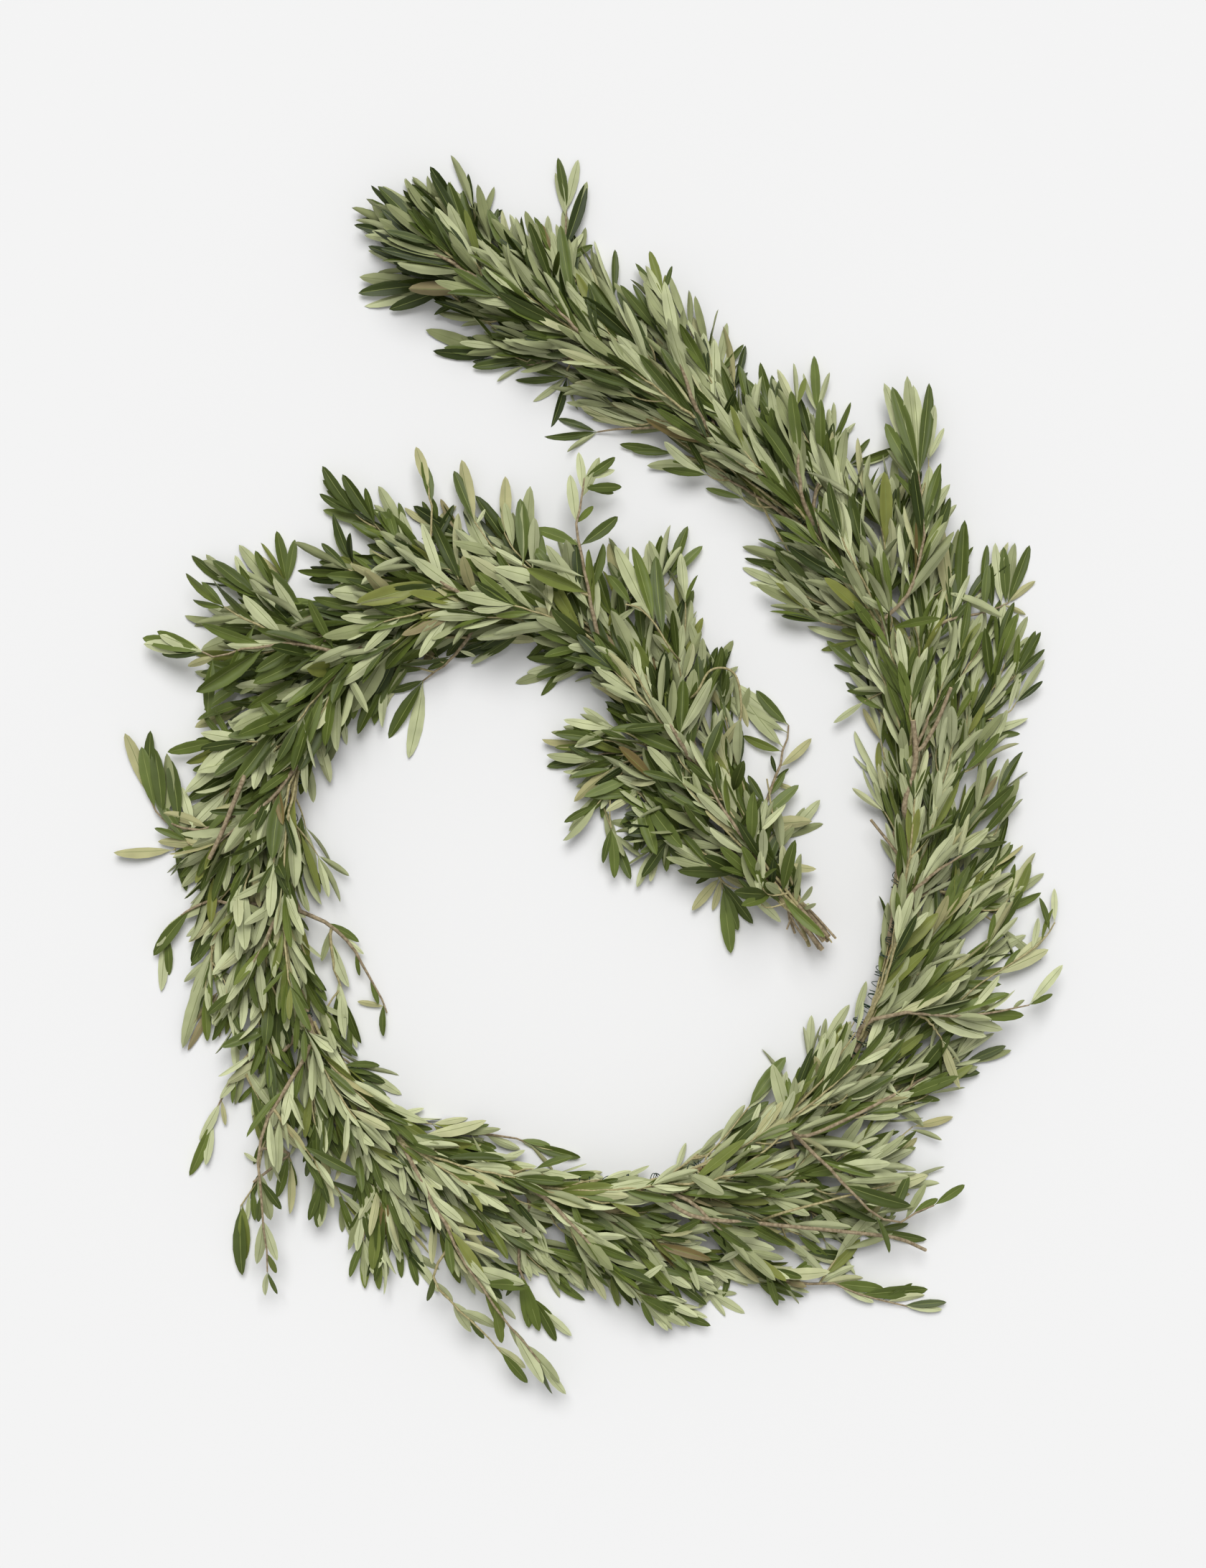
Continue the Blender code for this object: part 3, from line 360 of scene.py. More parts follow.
# Twigs that end in a cut, bare or with a few leaves: the pixels they pass, their heights at both ends and
# their radius in metres
cutTwigs = [
    {"way": [(1085, 1682), (1150, 1667), (1243, 1645)],
     "heights": (0.062, 0.040), "radius": 0.0014},
    {"way": [(960, 1684), (1060, 1698), (1200, 1714), (1252, 1724), (1290, 1742)],
     "heights": (0.066, 0.016), "radius": 0.0021},
    {"way": [(1120, 1575), (1185, 1548), (1242, 1519)],
     "heights": (0.066, 0.058), "radius": 0.0019},
    {"way": [(1262, 1215), (1250, 1190), (1213, 1142)],
     "heights": (0.030, 0.022), "radius": 0.0017},
    {"way": [(970, 965), (985, 938), (1003, 931), (1020, 937), (1029, 956), (1032, 990), (1028, 1020)],
     "heights": (0.044, 0.026), "radius": 0.0013, "leaves": [
         (1031, 1000, 1000, 1048, "tan"), (1022, 940, 1003, 968, "under"),
         (1012, 934, 1010, 975, "upper"), (1030, 975, 1040, 1012, "tan")]},
    {"way": [(345, 1085), (329, 1124), (314, 1160), (297, 1195)],
     "heights": (0.060, 0.050), "radius": 0.0026},
    {"way": [(372, 1600), (402, 1607), (385, 1622), (352, 1648)],
     "heights": (0.020, 0.010), "radius": 0.0016},
    {"way": [(1255, 1120), (1270, 1060), (1266, 1005)],
     "heights": (0.058, 0.064), "radius": 0.0030},
    {"way": [(1280, 1040), (1300, 1005), (1318, 960)],
     "heights": (0.062, 0.064), "radius": 0.0022},
    {"way": [(1355, 1378), (1405, 1345), (1440, 1322), (1460, 1303), (1471, 1286)],
     "heights": (0.020, 0.010), "radius": 0.0009, "leaves": [
         (1471, 1286, 1472, 1238, "under"), (1465, 1297, 1453, 1250, "upper"),
         (1452, 1310, 1465, 1265, "upper"), (1440, 1322, 1452, 1280, "under"),
         (1410, 1342, 1458, 1305, "under"), (1397, 1350, 1423, 1322, "upper"),
         (1400, 1348, 1425, 1340, "upper"), (1385, 1358, 1463, 1324, "under")]},
    {"way": [(1240, 958), (1206, 976)], "heights": (0.030, 0.016), "radius": 0.0009, "leaves": [
         (1206, 976, 1162, 1006, "under"), (1225, 965, 1180, 962, "upper")]},
    {"way": [(742, 792), (716, 766), (703, 743)],
     "heights": (0.034, 0.020), "radius": 0.0009, "leaves": [
         (703, 743, 704, 662, "tan"), (702, 743, 696, 718, "upper"), (715, 765, 708, 700, "under")]},
    {"way": [(385, 1038), (350, 1033), (312, 1030)],
     "heights": (0.040, 0.020), "radius": 0.0010, "leaves": [
         (312, 1030, 232, 1048, "upper"), (316, 1030, 278, 997, "upper"), (325, 1030, 293, 989, "upper"),
         (350, 1033, 282, 1019, "under"), (360, 1034, 314, 1006, "under"),
         (345, 1033, 279, 1043, "upper"), (370, 1036, 325, 1056, "under"),
         (335, 1031, 262, 1110, "under"), (320, 1030, 270, 1085, "under")]},
    {"way": [(932, 905), (912, 872), (890, 850), (872, 845)],
     "heights": (0.052, 0.058), "radius": 0.0010, "leaves": [
         (905, 866, 857, 760, "under"), (908, 870, 882, 758, "upper"), (925, 890, 905, 775, "upper"),
         (872, 846, 932, 850, "under"), (880, 848, 852, 800, "upper"), (885, 850, 850, 870, "under")]},
    {"way": [(985, 1608), (1012, 1580), (1042, 1543)],
     "heights": (0.030, 0.020), "radius": 0.0010, "leaves": [
         (1042, 1543, 1092, 1470, "upper"), (1040, 1545, 1082, 1505, "under"),
         (1000, 1592, 1038, 1540, "under"), (1016, 1576, 1068, 1530, "upper")]},
    {"way": [(1040, 1615), (1072, 1592), (1100, 1562)],
     "heights": (0.050, 0.042), "radius": 0.0012, "leaves": [
         (1098, 1564, 1078, 1482, "under"), (1100, 1562, 1096, 1497, "upper"),
         (1102, 1562, 1124, 1508, "under"), (1060, 1600, 1064, 1560, "upper")]},
    {"way": [(742, 820), (694, 772), (662, 728)],
     "heights": (0.034, 0.020), "radius": 0.0009, "leaves": [
         (662, 728, 635, 642, "tan"), (661, 730, 631, 655, "upper"), (663, 730, 677, 710, "under")]},
    {"way": [(385, 1590), (398, 1606), (404, 1618)],
     "heights": (0.020, 0.012), "radius": 0.0010, "leaves": [
         (404, 1618, 404, 1692, "tan"), (400, 1610, 389, 1672, "upper"),
         (403, 1616, 412, 1655, "upper")]},
]


lineEnd = 0.9999  # the share of a line's length that stands for its end


class Line:
    # A line through points, read by the distance along it

    def __init__(self, points):
        self.points = [Vector(point) for point in points]
        self.marks = [0.0]
        for first, second in zip(self.points, self.points[1:]):
            self.marks.append(self.marks[-1] + (second - first).length)
        self.length = self.marks[-1]

    def piece(self, distance):
        ahead = [index for index, mark in enumerate(self.marks) if mark > distance]
        return ahead[0] - 1 if ahead and ahead[0] > 0 else len(self.points) - 2

    def at(self, distance):
        index = self.piece(distance)
        share = (distance - self.marks[index]) / (self.marks[index + 1] - self.marks[index])
        return self.points[index].lerp(self.points[index + 1], share)

    def heading(self, distance):
        index = self.piece(distance)
        return (self.points[index + 1] - self.points[index]).normalized()


def fromView(pixel, height):
    across = (pixel[0] - view["origin"][0]) * view["pixel"]
    along = (view["origin"][1] - pixel[1]) * view["pixel"]
    return Vector((across, along, height))


def smoothLine(points, steps):
    knots = [2 * points[0] - points[1], *points, 2 * points[-1] - points[-2]]
    line = []
    for before, start, end, after in zip(knots, knots[1:], knots[2:], knots[3:]):
        for step in range(steps):
            t = step / steps
            linear = (end - before) * t
            square = (2 * before - 5 * start + 4 * end - after) * t ** 2
            cube = (3 * start - before - 3 * end + after) * t ** 3
            line.append((2 * start + linear + square + cube) / 2)
    line.append(points[-1])
    return line


def readNecks(route):
    last = route.length - layout["lastBinding"]
    necks = []
    for number in range(layout["bindings"]):
        place = layout["firstBinding"] + (last - layout["firstBinding"]) * number / (layout["bindings"] - 1)
        back = route.at(place - layout["neckBehind"])
        front = route.at(place + layout["neckAhead"])
        ahead = (front - back).normalized()
        necks.append({
            "back": back,
            "front": front,
            "ahead": ahead,
            "onward": (route.at(place + layout["onwardAt"]) - front).normalized(),
            "between": route.at(place + layout["betweenAt"]),
            "outward": ahead.cross(up),
            "place": place,
        })
    return necks


# Materials

colourMix = {"data_type": "RGBA"}


def hexColour(text):
    channels = [int(text[start:start + 2], 16) / 255 for start in (1, 3, 5)]
    linear = [c / 12.92 if c <= 0.04045 else ((c + 0.055) / 1.055) ** 2.4 for c in channels]
    return (*linear, 1.0)


def startMaterial(name):
    material = bpy.data.materials.new(name)
    material.use_nodes = True
    return material, material.node_tree.nodes["Principled BSDF"]


def setInputs(material, node, inputs):
    for socket, value in inputs.items():
        if isinstance(value, bpy.types.Node):
            value = next(output for output in value.outputs if output.enabled)
        if isinstance(value, bpy.types.NodeSocket):
            material.node_tree.links.new(value, node.inputs[socket])
        else:
            node.inputs[socket].default_value = value


def addNode(material, kind, settings=None, inputs=None):
    node = material.node_tree.nodes.new(kind)
    for name, value in (settings or {}).items():
        setattr(node, name, value)
    setInputs(material, node, inputs or {})
    return node


# Leathery upper side: a thin wax coat gives a soft shine, and the midrib is pale and sunken
leafUpperLook = {
    "deep": "#313d15",
    "fresh": "#647231",
    "yellowing": "#7f8440",
    "dried": "#75663c",
    "midrib": "#848e4e",
    "stalk": "#8f8f52",
    "roughness": 0.45,
    "sheen": 0.32,
    "relief": 0.00020,
    "sunken": True,
}

# Underside covered in minute silvery scales, which give a matte sage green; the raised midrib is coloured
# darker as painted shade along the nerve
leafUnderLook = {
    "deep": "#8c9265",
    "fresh": "#c8cda1",
    "yellowing": "#ada878",
    "dried": "#8f8460",
    # painted shade: the midrib line is darker than the blade to stand for shade along the raised nerve
    "midrib": "#838b5a",
    "stalk": "#a3a06a",
    "roughness": 0.75,
    "sheen": 0.25,
    "relief": 0.00030,
    "sunken": False,
}

# Both sides have the same pattern
leafPattern = {
    "tones": {"fresh": (0.0, 0.7), "yellowing": (0.7, 0.92), "dried": (0.955, 0.975)},
    "midrib": (0.010, 0.036),  # where its edge begins and ends, in breadths of the blade
    "stalk": (0.03, 0.09),  # where the yellowish base begins and ends to fade, in lengths of the blade
    "patchScale": 60.0,  # cloudy patches about 17 mm across
    "patchShades": (0.90, 1.08),
    "grainScale": 1600.0,  # a grain of 0.6 mm
    "grainHeight": 0.05,
    "veinTurns": 90.0,  # a side vein about every 4 mm, slanting towards the tip
    "veinSlant": 0.35,
    "veinHeight": 0.05,
}


def makeLeafMaterial(name, look):
    material, surface = startMaterial(name)
    uvMap = addNode(material, "ShaderNodeUVMap", {"uv_map": "UVMap"})
    place = addNode(material, "ShaderNodeSeparateXYZ", inputs={0: uvMap})
    offCentre = addNode(material, "ShaderNodeMath", {"operation": "SUBTRACT"}, {0: place, 1: 0.5})
    across = addNode(material, "ShaderNodeMath", {"operation": "ABSOLUTE"}, {0: offCentre})
    upBlade = place.outputs[1]

    # A leaf's tone takes it from deep to fresh green, then to yellow and to brown
    tone = addNode(material, "ShaderNodeAttribute", {"attribute_name": "tone"})
    colour = hexColour(look["deep"])
    for hue, (start, end) in leafPattern["tones"].items():
        step = addNode(material, "ShaderNodeMapRange", inputs={0: tone.outputs[2], 1: start, 2: end})
        colour = addNode(material, "ShaderNodeMix", colourMix,
                         {0: step, 6: colour, 7: hexColour(look[hue])})

    start, end = leafPattern["stalk"]
    stalk = addNode(material, "ShaderNodeMapRange", inputs={0: upBlade, 1: start, 2: end, 3: 1.0, 4: 0.0})
    colour = addNode(material, "ShaderNodeMix", colourMix,
                     {0: stalk, 6: colour, 7: hexColour(look["stalk"])})
    # The midrib line: pale on the upper side, and on the underside darker as painted shade along the raised
    # nerve
    start, end = leafPattern["midrib"]
    midrib = addNode(material, "ShaderNodeMapRange", {"interpolation_type": "SMOOTHSTEP"},
                     {0: across, 1: start, 2: end, 3: 1.0, 4: 0.0})
    colour = addNode(material, "ShaderNodeMix", colourMix,
                     {0: midrib, 6: colour, 7: hexColour(look["midrib"])})
    solid = addNode(material, "ShaderNodeTexCoord")
    patches = addNode(material, "ShaderNodeTexNoise", inputs={
        "Vector": solid.outputs["Object"], "Scale": leafPattern["patchScale"], "Detail": 1.0})
    dark, light = leafPattern["patchShades"]
    shade = addNode(material, "ShaderNodeMapRange", inputs={0: patches, 1: 0.3, 2: 0.7, 3: dark, 4: light})
    shaded = addNode(material, "ShaderNodeHueSaturation", inputs={"Value": shade, "Color": colour})

    # Midrib, side veins and grain stand out or in
    slant = addNode(material, "ShaderNodeMath", {"operation": "MULTIPLY"},
                    {0: across, 1: leafPattern["veinSlant"]})
    along = addNode(material, "ShaderNodeMath", {"operation": "SUBTRACT"}, {0: upBlade, 1: slant})
    waves = addNode(material, "ShaderNodeMath", {"operation": "MULTIPLY"},
                    {0: along, 1: leafPattern["veinTurns"]})
    veins = addNode(material, "ShaderNodeMath", {"operation": "SINE"}, {0: waves})
    veinLine = addNode(material, "ShaderNodeMapRange", inputs={0: veins, 1: 0.7, 2: 1.0})
    grain = addNode(material, "ShaderNodeTexNoise", inputs={
        "Vector": solid.outputs["Object"], "Scale": leafPattern["grainScale"], "Detail": 1.0})
    faint = addNode(material, "ShaderNodeMath", {"operation": "MULTIPLY"},
                    {0: veinLine, 1: leafPattern["veinHeight"]})
    rough = addNode(material, "ShaderNodeMath", {"operation": "MULTIPLY_ADD"},
                    {0: grain, 1: leafPattern["grainHeight"], 2: faint})
    height = addNode(material, "ShaderNodeMath", {"operation": "ADD"}, {0: rough, 1: midrib})
    relief = addNode(material, "ShaderNodeBump", {"invert": look["sunken"]},
                     {"Strength": 0.6, "Distance": look["relief"], "Height": height})
    setInputs(material, surface, {
        "Base Color": shaded,
        "Roughness": look["roughness"],
        "IOR": 1.45,
        "Specular IOR Level": look["sheen"],
        "Normal": relief,
    })
    return material


# Grey-brown bark and the green-tan skin of young shoots, dull and uneven, with spots of 3 mm, and the pale
# wood of a fresh cut, with spots of 1 mm
woodLooks = {
    "olive_bark": {"dark": "#7a6a50", "light": "#a8987a", "roughness": 0.8, "spotScale": 300.0,
                   "spotDetail": 3.0, "spotEdge": (0.35, 0.65), "relief": 0.5},
    "olive_young_bark": {"dark": "#8e8458", "light": "#b8ad7f", "roughness": 0.65, "spotScale": 300.0,
                         "spotDetail": 3.0, "spotEdge": (0.35, 0.65), "relief": 0.5},
    "olive_cut_wood": {"dark": "#b79f73", "light": "#dccba0", "roughness": 0.85, "spotScale": 900.0,
                       "spotDetail": 2.0, "spotEdge": (0.0, 1.0)},
}


def makeSpottedMaterial(name, look):
    material, surface = startMaterial(name)
    solid = addNode(material, "ShaderNodeTexCoord")
    spots = addNode(material, "ShaderNodeTexNoise", inputs={
        "Vector": solid.outputs["Object"], "Scale": look["spotScale"], "Detail": look["spotDetail"]})
    start, end = look["spotEdge"]
    share = addNode(material, "ShaderNodeMapRange", inputs={0: spots, 1: start, 2: end})
    colour = addNode(material, "ShaderNodeMix", colourMix, {
        0: share, 6: hexColour(look["dark"]), 7: hexColour(look["light"])})
    setInputs(material, surface, {"Base Color": colour, "Roughness": look["roughness"]})
    if "relief" in look:
        relief = addNode(material, "ShaderNodeBump", inputs={
            "Strength": look["relief"], "Distance": 0.0003, "Height": spots})
        setInputs(material, surface, {"Normal": relief})
    return material


# Leaf shapes, 1 long, which are scaled as they are placed

leafForm = {
    "rows": [  # how far up the blade, and how broad there
        (0.0, 0.05), (0.07, 0.09), (0.22, 0.58), (0.43, 0.94),
        (0.63, 1.0), (0.82, 0.77), (0.94, 0.42), (1.0, 0.0),
    ],
    "halfBreadth": 0.105,
    "camber": 0.17,  # how far the blade bulges between midrib and margin, in half breadths
    "thickness": 0.008,
    "startBehind": 8.0,  # how far back the grid is made, so that a row once moved isn't selected again
}

# Arch lifts the tip, sickle swings it sideways, twist is in degrees, fold lifts the margins, and often
# says how many grow like this
leafShapes = {
    "flat": {"arch": 0.01, "sickle": 0.01, "twist": 4, "fold": 0.20, "often": 5},
    "drooping": {"arch": -0.10, "sickle": 0.03, "twist": -10, "fold": 0.35, "often": 5},
    "lifting": {"arch": 0.08, "sickle": -0.03, "twist": 8, "fold": 0.45, "often": 4},
    "sickleLeft": {"arch": -0.04, "sickle": 0.09, "twist": 14, "fold": 0.30, "often": 4},
    "sickleRight": {"arch": 0.03, "sickle": -0.08, "twist": -16, "fold": 0.40, "often": 4},
    "twisted": {"arch": -0.04, "sickle": 0.04, "twist": 55, "fold": 0.30, "often": 3},
    "folded": {"arch": 0.05, "sickle": 0.01, "twist": -10, "fold": 0.9, "often": 2},
    "curled": {"arch": -0.20, "sickle": 0.06, "twist": 35, "fold": 0.5, "often": 1},
}


def selectWhere(obj, test):
    shape = bmesh.from_edit_mesh(obj.data)
    for vertex in shape.verts:
        vertex.select = test(vertex)
    shape.select_flush_mode()
    bmesh.update_edit_mesh(obj.data)


def modelLeaf(name, shape, materials):
    rows = leafForm["rows"]
    last = len(rows) - 1
    start = -leafForm["startBehind"]
    bpy.ops.mesh.primitive_grid_add(x_subdivisions=4, y_subdivisions=last, size=2, location=(0, start, 0))
    leaf = bpy.context.object
    leaf.name = name
    for material in materials:
        leaf.data.materials.append(material)
    bpy.ops.object.transform_apply(location=True)
    bpy.ops.object.mode_set(mode="EDIT")
    bulge = leafForm["camber"]
    selectWhere(leaf, lambda v: abs(abs(v.co.x) - 0.5) < 0.01)
    bpy.ops.transform.translate(value=(0, 0, bulge + shape["fold"] * 0.5))
    selectWhere(leaf, lambda v: abs(abs(v.co.x) - 1.0) < 0.01)
    bpy.ops.transform.translate(value=(0, 0, shape["fold"]))
    for number, (along, width) in enumerate(rows):
        level = start - 1 + 2 * number / last
        selectWhere(leaf, lambda v: abs(v.co.y - level) < 0.01)
        half = width * leafForm["halfBreadth"]
        bpy.ops.transform.resize(value=(half, 1, half), center_override=(0, level, 0))
        bpy.ops.transform.rotate(value=math.radians(shape["twist"] * along), orient_axis="Y",
                                 center_override=(0, level, 0))
        sideways = shape["sickle"] * along ** 2
        bpy.ops.transform.translate(value=(sideways, along - level, shape["arch"] * along ** 2))
    selectWhere(leaf, lambda v: v.co.y > 0.99)
    bpy.ops.mesh.merge(type="CENTER")

    # The underside is a second sheet that meets the first at the margin
    bpy.ops.mesh.select_all(action="SELECT")
    bpy.ops.mesh.duplicate()
    bpy.ops.mesh.flip_normals()
    leaf.active_material_index = 1
    bpy.ops.object.material_slot_assign()
    selectWhere(leaf, lambda v: v.select and not v.is_boundary)
    bpy.ops.transform.translate(value=(0, 0, -leafForm["thickness"]))
    bpy.ops.mesh.select_all(action="SELECT")
    bpy.ops.mesh.remove_doubles(threshold=0.00001)
    bpy.ops.mesh.select_all(action="DESELECT")
    margin = bmesh.from_edit_mesh(leaf.data)
    for edge in margin.edges:
        sides = {face.material_index for face in edge.link_faces}
        edge.select = len(sides) == 2
    bmesh.update_edit_mesh(leaf.data)
    bpy.ops.mesh.mark_sharp()
    bpy.ops.object.mode_set(mode="OBJECT")
    bpy.ops.object.shade_smooth()
    mesh = leaf.data
    mesh.attributes.new("tone", "FLOAT", "POINT")
    bpy.data.objects.remove(leaf)
    return mesh


# How the branches grow

growth = {
    "seatAngle": {"outer": 18, "crown": 90, "inner": 162, "below": -54},
    "seatRadius": 0.0049,
    "endHeight": {"outer": 0.003, "crown": 0.036, "inner": 0.003, "below": 0.003},
    "lift": {"outer": 0.004, "crown": 0.022, "inner": 0.004, "below": -0.002},
    "forkLift": 0.002,
    "tailButt": 0.058,  # how far the first branches' stems stick out
    "tailButts": (0.8, 1.0),
    "tailFan": 0.4,
    "forkAt": 0.38,  # share of the stem
    "endLeaf": 0.054,  # the last leaf's reach past its stem
    "shortestShoot": 0.020,
    "setOff": 0.025,  # how far a stem runs along the cord before it follows its way
    "leave": 0.30,  # how long it keeps its first and its last direction, as shares of its length
    "arrive": 0.34,
    "ownAim": 0.5,  # weight of the straight line to its tip in its last direction
    "curveSteps": 24,
    "stemPoints": 12,
    "buttRadius": 0.0026,
    "forkRadius": 0.0017,
    "tipRadius": 0.0008,
    "zigzag": 0.0006,
    "leavesFrom": 0.012,
    "cutPast": 0.0006,  # how far a cut's pale face stands out of the bark
    "cutInside": 0.002,
    "cutShare": 0.86,  # of the stem's radius
}

sprigs = {
    "alongStep": 0.034,
    "acrossStep": 0.028,
    "firstStep": (0, 0.5),
    "steps": (0.75, 1.25),
    "scatter": 0.008,
    "firstTip": 0.055,
    "pastEnd": 0.120,  # how far the head's tips pass the end of the cord
    "middleHeight": 0.048,
    "edgeHeight": 0.012,
    "heights": (0.45, 1.0),
    "edgeTipHeights": (0.003, 0.02),
    "bend": 0.45,
    "fan": 0.42,  # how far the sprigs at the band's edges turn out, in radians
    "scatterTurn": 0.14,
    "ownFlow": 0.25,  # weight of the band's own run beside the spots where it was read
    "lieReach": 0.035,
    "usualRoot": 0.080,  # from a root to its tip
    "nearestRoot": 0.050,
    "farthestRoot": 0.120,
    "worstRoot": 2.2,  # cost past which a tip in the band gets no sprig
    "edgeFlowCost": 0.5,
    "distanceCost": 9,
    "reuseCost": 0.25,
    "ownAim": 0.3,  # weight of the way from root to tip in a sprig's last direction
    "edgeAim": 1.5,
    "rootSteps": 18,  # places along a stem where a sprig may set off
    "shortest": 0.012,
    "leavesFrom": 0.008,
    "baseRadius": 0.0011,
    "tipRadius": 0.0006,
    "points": 6,
    "mainLeavesFrom": 0.045,  # bare length of a main stem past its binding
    "mainRootsFrom": 0.012,
}

leaves = {
    "spacing": 0.0175,
    "steps": (0.8, 1.2),
    "bareEnd": 0.003,
    "sizes": (0.68, 1.18),
    "breadths": (0.72, 1.15),
    "lean": (0.40, 0.18),
    "waywardLean": (0.7, 1.35),
    "combed": 0.45,  # how far leaves turn into the run of the band
    "edgePressed": 0.6,  # leaves on the sprigs along the edge lie closer to their stem
    "rolled": 0.28,  # share of them that turn freely about their midrib
    "freeRoll": (-1.3, 1.3),
    "usualRoll": 0.3,
    "upright": 0.45,
    "flatPairsFrom": 0.042,  # above this height the pairs lie flat on both sides, and their stem shows
    # A value for each binding: the usual length in millimetres, the breadth, how far leaves lean out, the
    # share of them that shows its underside, how fresh their green is, how many lie any way and how many
    # are lost
    "length": [56, 58, 64, 68, 70, 60, 54, 54, 54, 54, 56, 58, 58, 56, 58, 62, 66, 68, 70, 68],
    "breadth": [
        1.0, 1.0, 1.02, 1.02, 1.02, 0.95, 0.92, 0.92, 0.95, 0.95,
        0.92, 0.92, 0.86, 0.84, 0.82, 0.84, 0.80, 0.78, 0.82, 0.86,
    ],
    "spread": [
        1.0, 1.0, 1.0, 1.0, 1.0, 1.0, 0.85, 0.75, 0.7, 0.65,
        0.7, 0.75, 0.8, 0.75, 0.7, 0.8, 0.65, 0.5, 0.6, 0.7,
    ],
    "underside": [
        0.5, 0.5, 0.45, 0.45, 0.45, 0.5, 0.5, 0.55, 0.6, 0.6,
        0.6, 0.6, 0.55, 0.6, 0.6, 0.6, 0.6, 0.65, 0.6, 0.5,
    ],
    "tone": [
        0.40, 0.42, 0.42, 0.42, 0.42, 0.45, 0.48, 0.50, 0.50, 0.50,
        0.50, 0.50, 0.48, 0.45, 0.45, 0.42, 0.38, 0.32, 0.22, 0.14,
    ],
    "wayward": [
        0.14, 0.14, 0.12, 0.10, 0.10, 0.12, 0.06, 0.03, 0.03, 0.03,
        0.03, 0.05, 0.05, 0.04, 0.06, 0.07, 0.03, 0.02, 0.03, 0.04,
    ],
    "missing": [
        0.26, 0.24, 0.22, 0.18, 0.16, 0.20, 0.16, 0.14, 0.14, 0.14,
        0.14, 0.14, 0.14, 0.14, 0.14, 0.14, 0.12, 0.12, 0.12, 0.14,
    ],
    "flatten": 0.72,
    "floor": 0.0022,
    "lowest": 0.0016,
    "ceiling": 0.079,
    "toneSpread": 0.24,
    "palest": 0.93,
    "dried": 0.006,  # share of them
    "endShare": 0.92,  # length of the leaf at a sprig's end beside the usual one
    "endSizes": (0.035, 0.072),  # shortest and longest leaf at the end of a sprig on the edge
    "stray": (-0.010, 0.003),  # past the usual reach, in metres
    "pastOwnStem": 0.014,
    # On the sprays that lie free
    "sprayDrop": 0.6,  # share of its root's height that a tip keeps
    "sprayBreadth": 1.08,
    "sprayBreadths": (0.9, 1.1),
    "broadest": 0.0148,  # in metres
    "sprayRoll": 0.25,
    "sprayShapes": ["flat", "flat", "drooping", "sickleLeft", "sickleRight"],
    "sprayToneSpread": 0.2,
    "sprayPalest": 0.8,
    "sprayTones": {"tan": 0.88, "brown": 1.0},
    "shrunk": 0.6,  # breadth of a dried leaf beside a fresh one's
}


def bendTo(start, onward, tip, way, band):
    flatStart = Vector((start.x, start.y, 0))
    if way:
        setOff = flatStart + onward * growth["setOff"]
        far = (way[0] - flatStart).length > 2 * growth["setOff"]
        return Line(smoothLine([flatStart, setOff, *way] if far else [flatStart, *way], 8))
    away = tip - flatStart
    ending = (acrossBand(tip, band)["flow"] + away.normalized() * growth["ownAim"]).normalized()
    first = flatStart + onward * away.length * growth["leave"]
    second = tip - ending * away.length * growth["arrive"]
    curve = []
    for step in range(growth["curveSteps"] + 1):
        t = step / growth["curveSteps"]
        near = flatStart * (1 - t) ** 3 + first * 3 * t * (1 - t) ** 2
        curve.append(near + second * 3 * t ** 2 * (1 - t) + tip * t ** 3)
    return Line(curve)


def wayTo(pixel):
    if pixel in sprays:
        return [fromView(spot, 0) for spot in sprays[pixel]["way"]]
    if pixel in byWayOf:
        return [fromView(byWayOf[pixel], 0), fromView(pixel, 0)]
    return None


def shootLine(start, onward, tip, way, endHeight, lift, band, draw):
    curve = bendTo(start, onward, tip, way, band)
    leafRoom = growth["endLeaf"] if way is None or way[-1] == tip else 0.0
    reach = max(curve.length - leafRoom, growth["shortestShoot"])
    points = []
    for number in range(growth["stemPoints"] + 1):
        share = number / growth["stemPoints"]
        point = curve.at(reach * share)
        point.z = start.z + (endHeight - start.z) * share + 4 * lift * share * (1 - share)
        if number > 0:
            point += Vector((draw.gauss(0, 1), draw.gauss(0, 1), 0)) * growth["zigzag"]
        points.append(point)
    return Line(points)


def taper(first, last, count):
    return [first + (last - first) * number / (count - 1) for number in range(count)]


def makeStem(line, radii, **marks):
    usual = {"young": True, "cut": False, "main": False, "bare": False, "tip": None, "spray": [],
             "leavesFrom": growth["leavesFrom"], "rootsFrom": 0.0}
    return {"line": line, "radii": radii, **usual, **marks}


# Cut ends that stick out behind the first binding, with their height and radius in metres
tailEnds = {
    (1163, 1306): (0.030, 0.0013), (1158, 1312): (0.024, 0.0009), (1146, 1303): (0.033, 0.0023),
    (1150, 1296): (0.020, 0.0018), (1128, 1318): (0.012, 0.0021), (1122, 1309): (0.026, 0.0012),
    (1108, 1300): (0.010, 0.0014), (1140, 1322): (0.018, 0.0008), (1136, 1290): (0.036, 0.0020),
    (1096, 1294): (0.022, 0.0010),
}
tailSpread = {
    "front": 1.6,  # how far apart they lie at the first binding, in seat radii, and behind it
    "back": 1.4,
    "bow": 0.002,
    "pastBinding": 0.03,
    "thinning": (0.95, 1.0, 0.95, 0.9, 0.6),
}
twigRules = {
    "rootGap": 0.006,  # a twig sets off at least this far behind its first point
    "rootTurn": 0.6,  # and no more than this out of line with it, in radians
    "endShare": 0.85,  # radius of its cut end beside its root's
    "youngUnder": 0.0016,  # radius
}


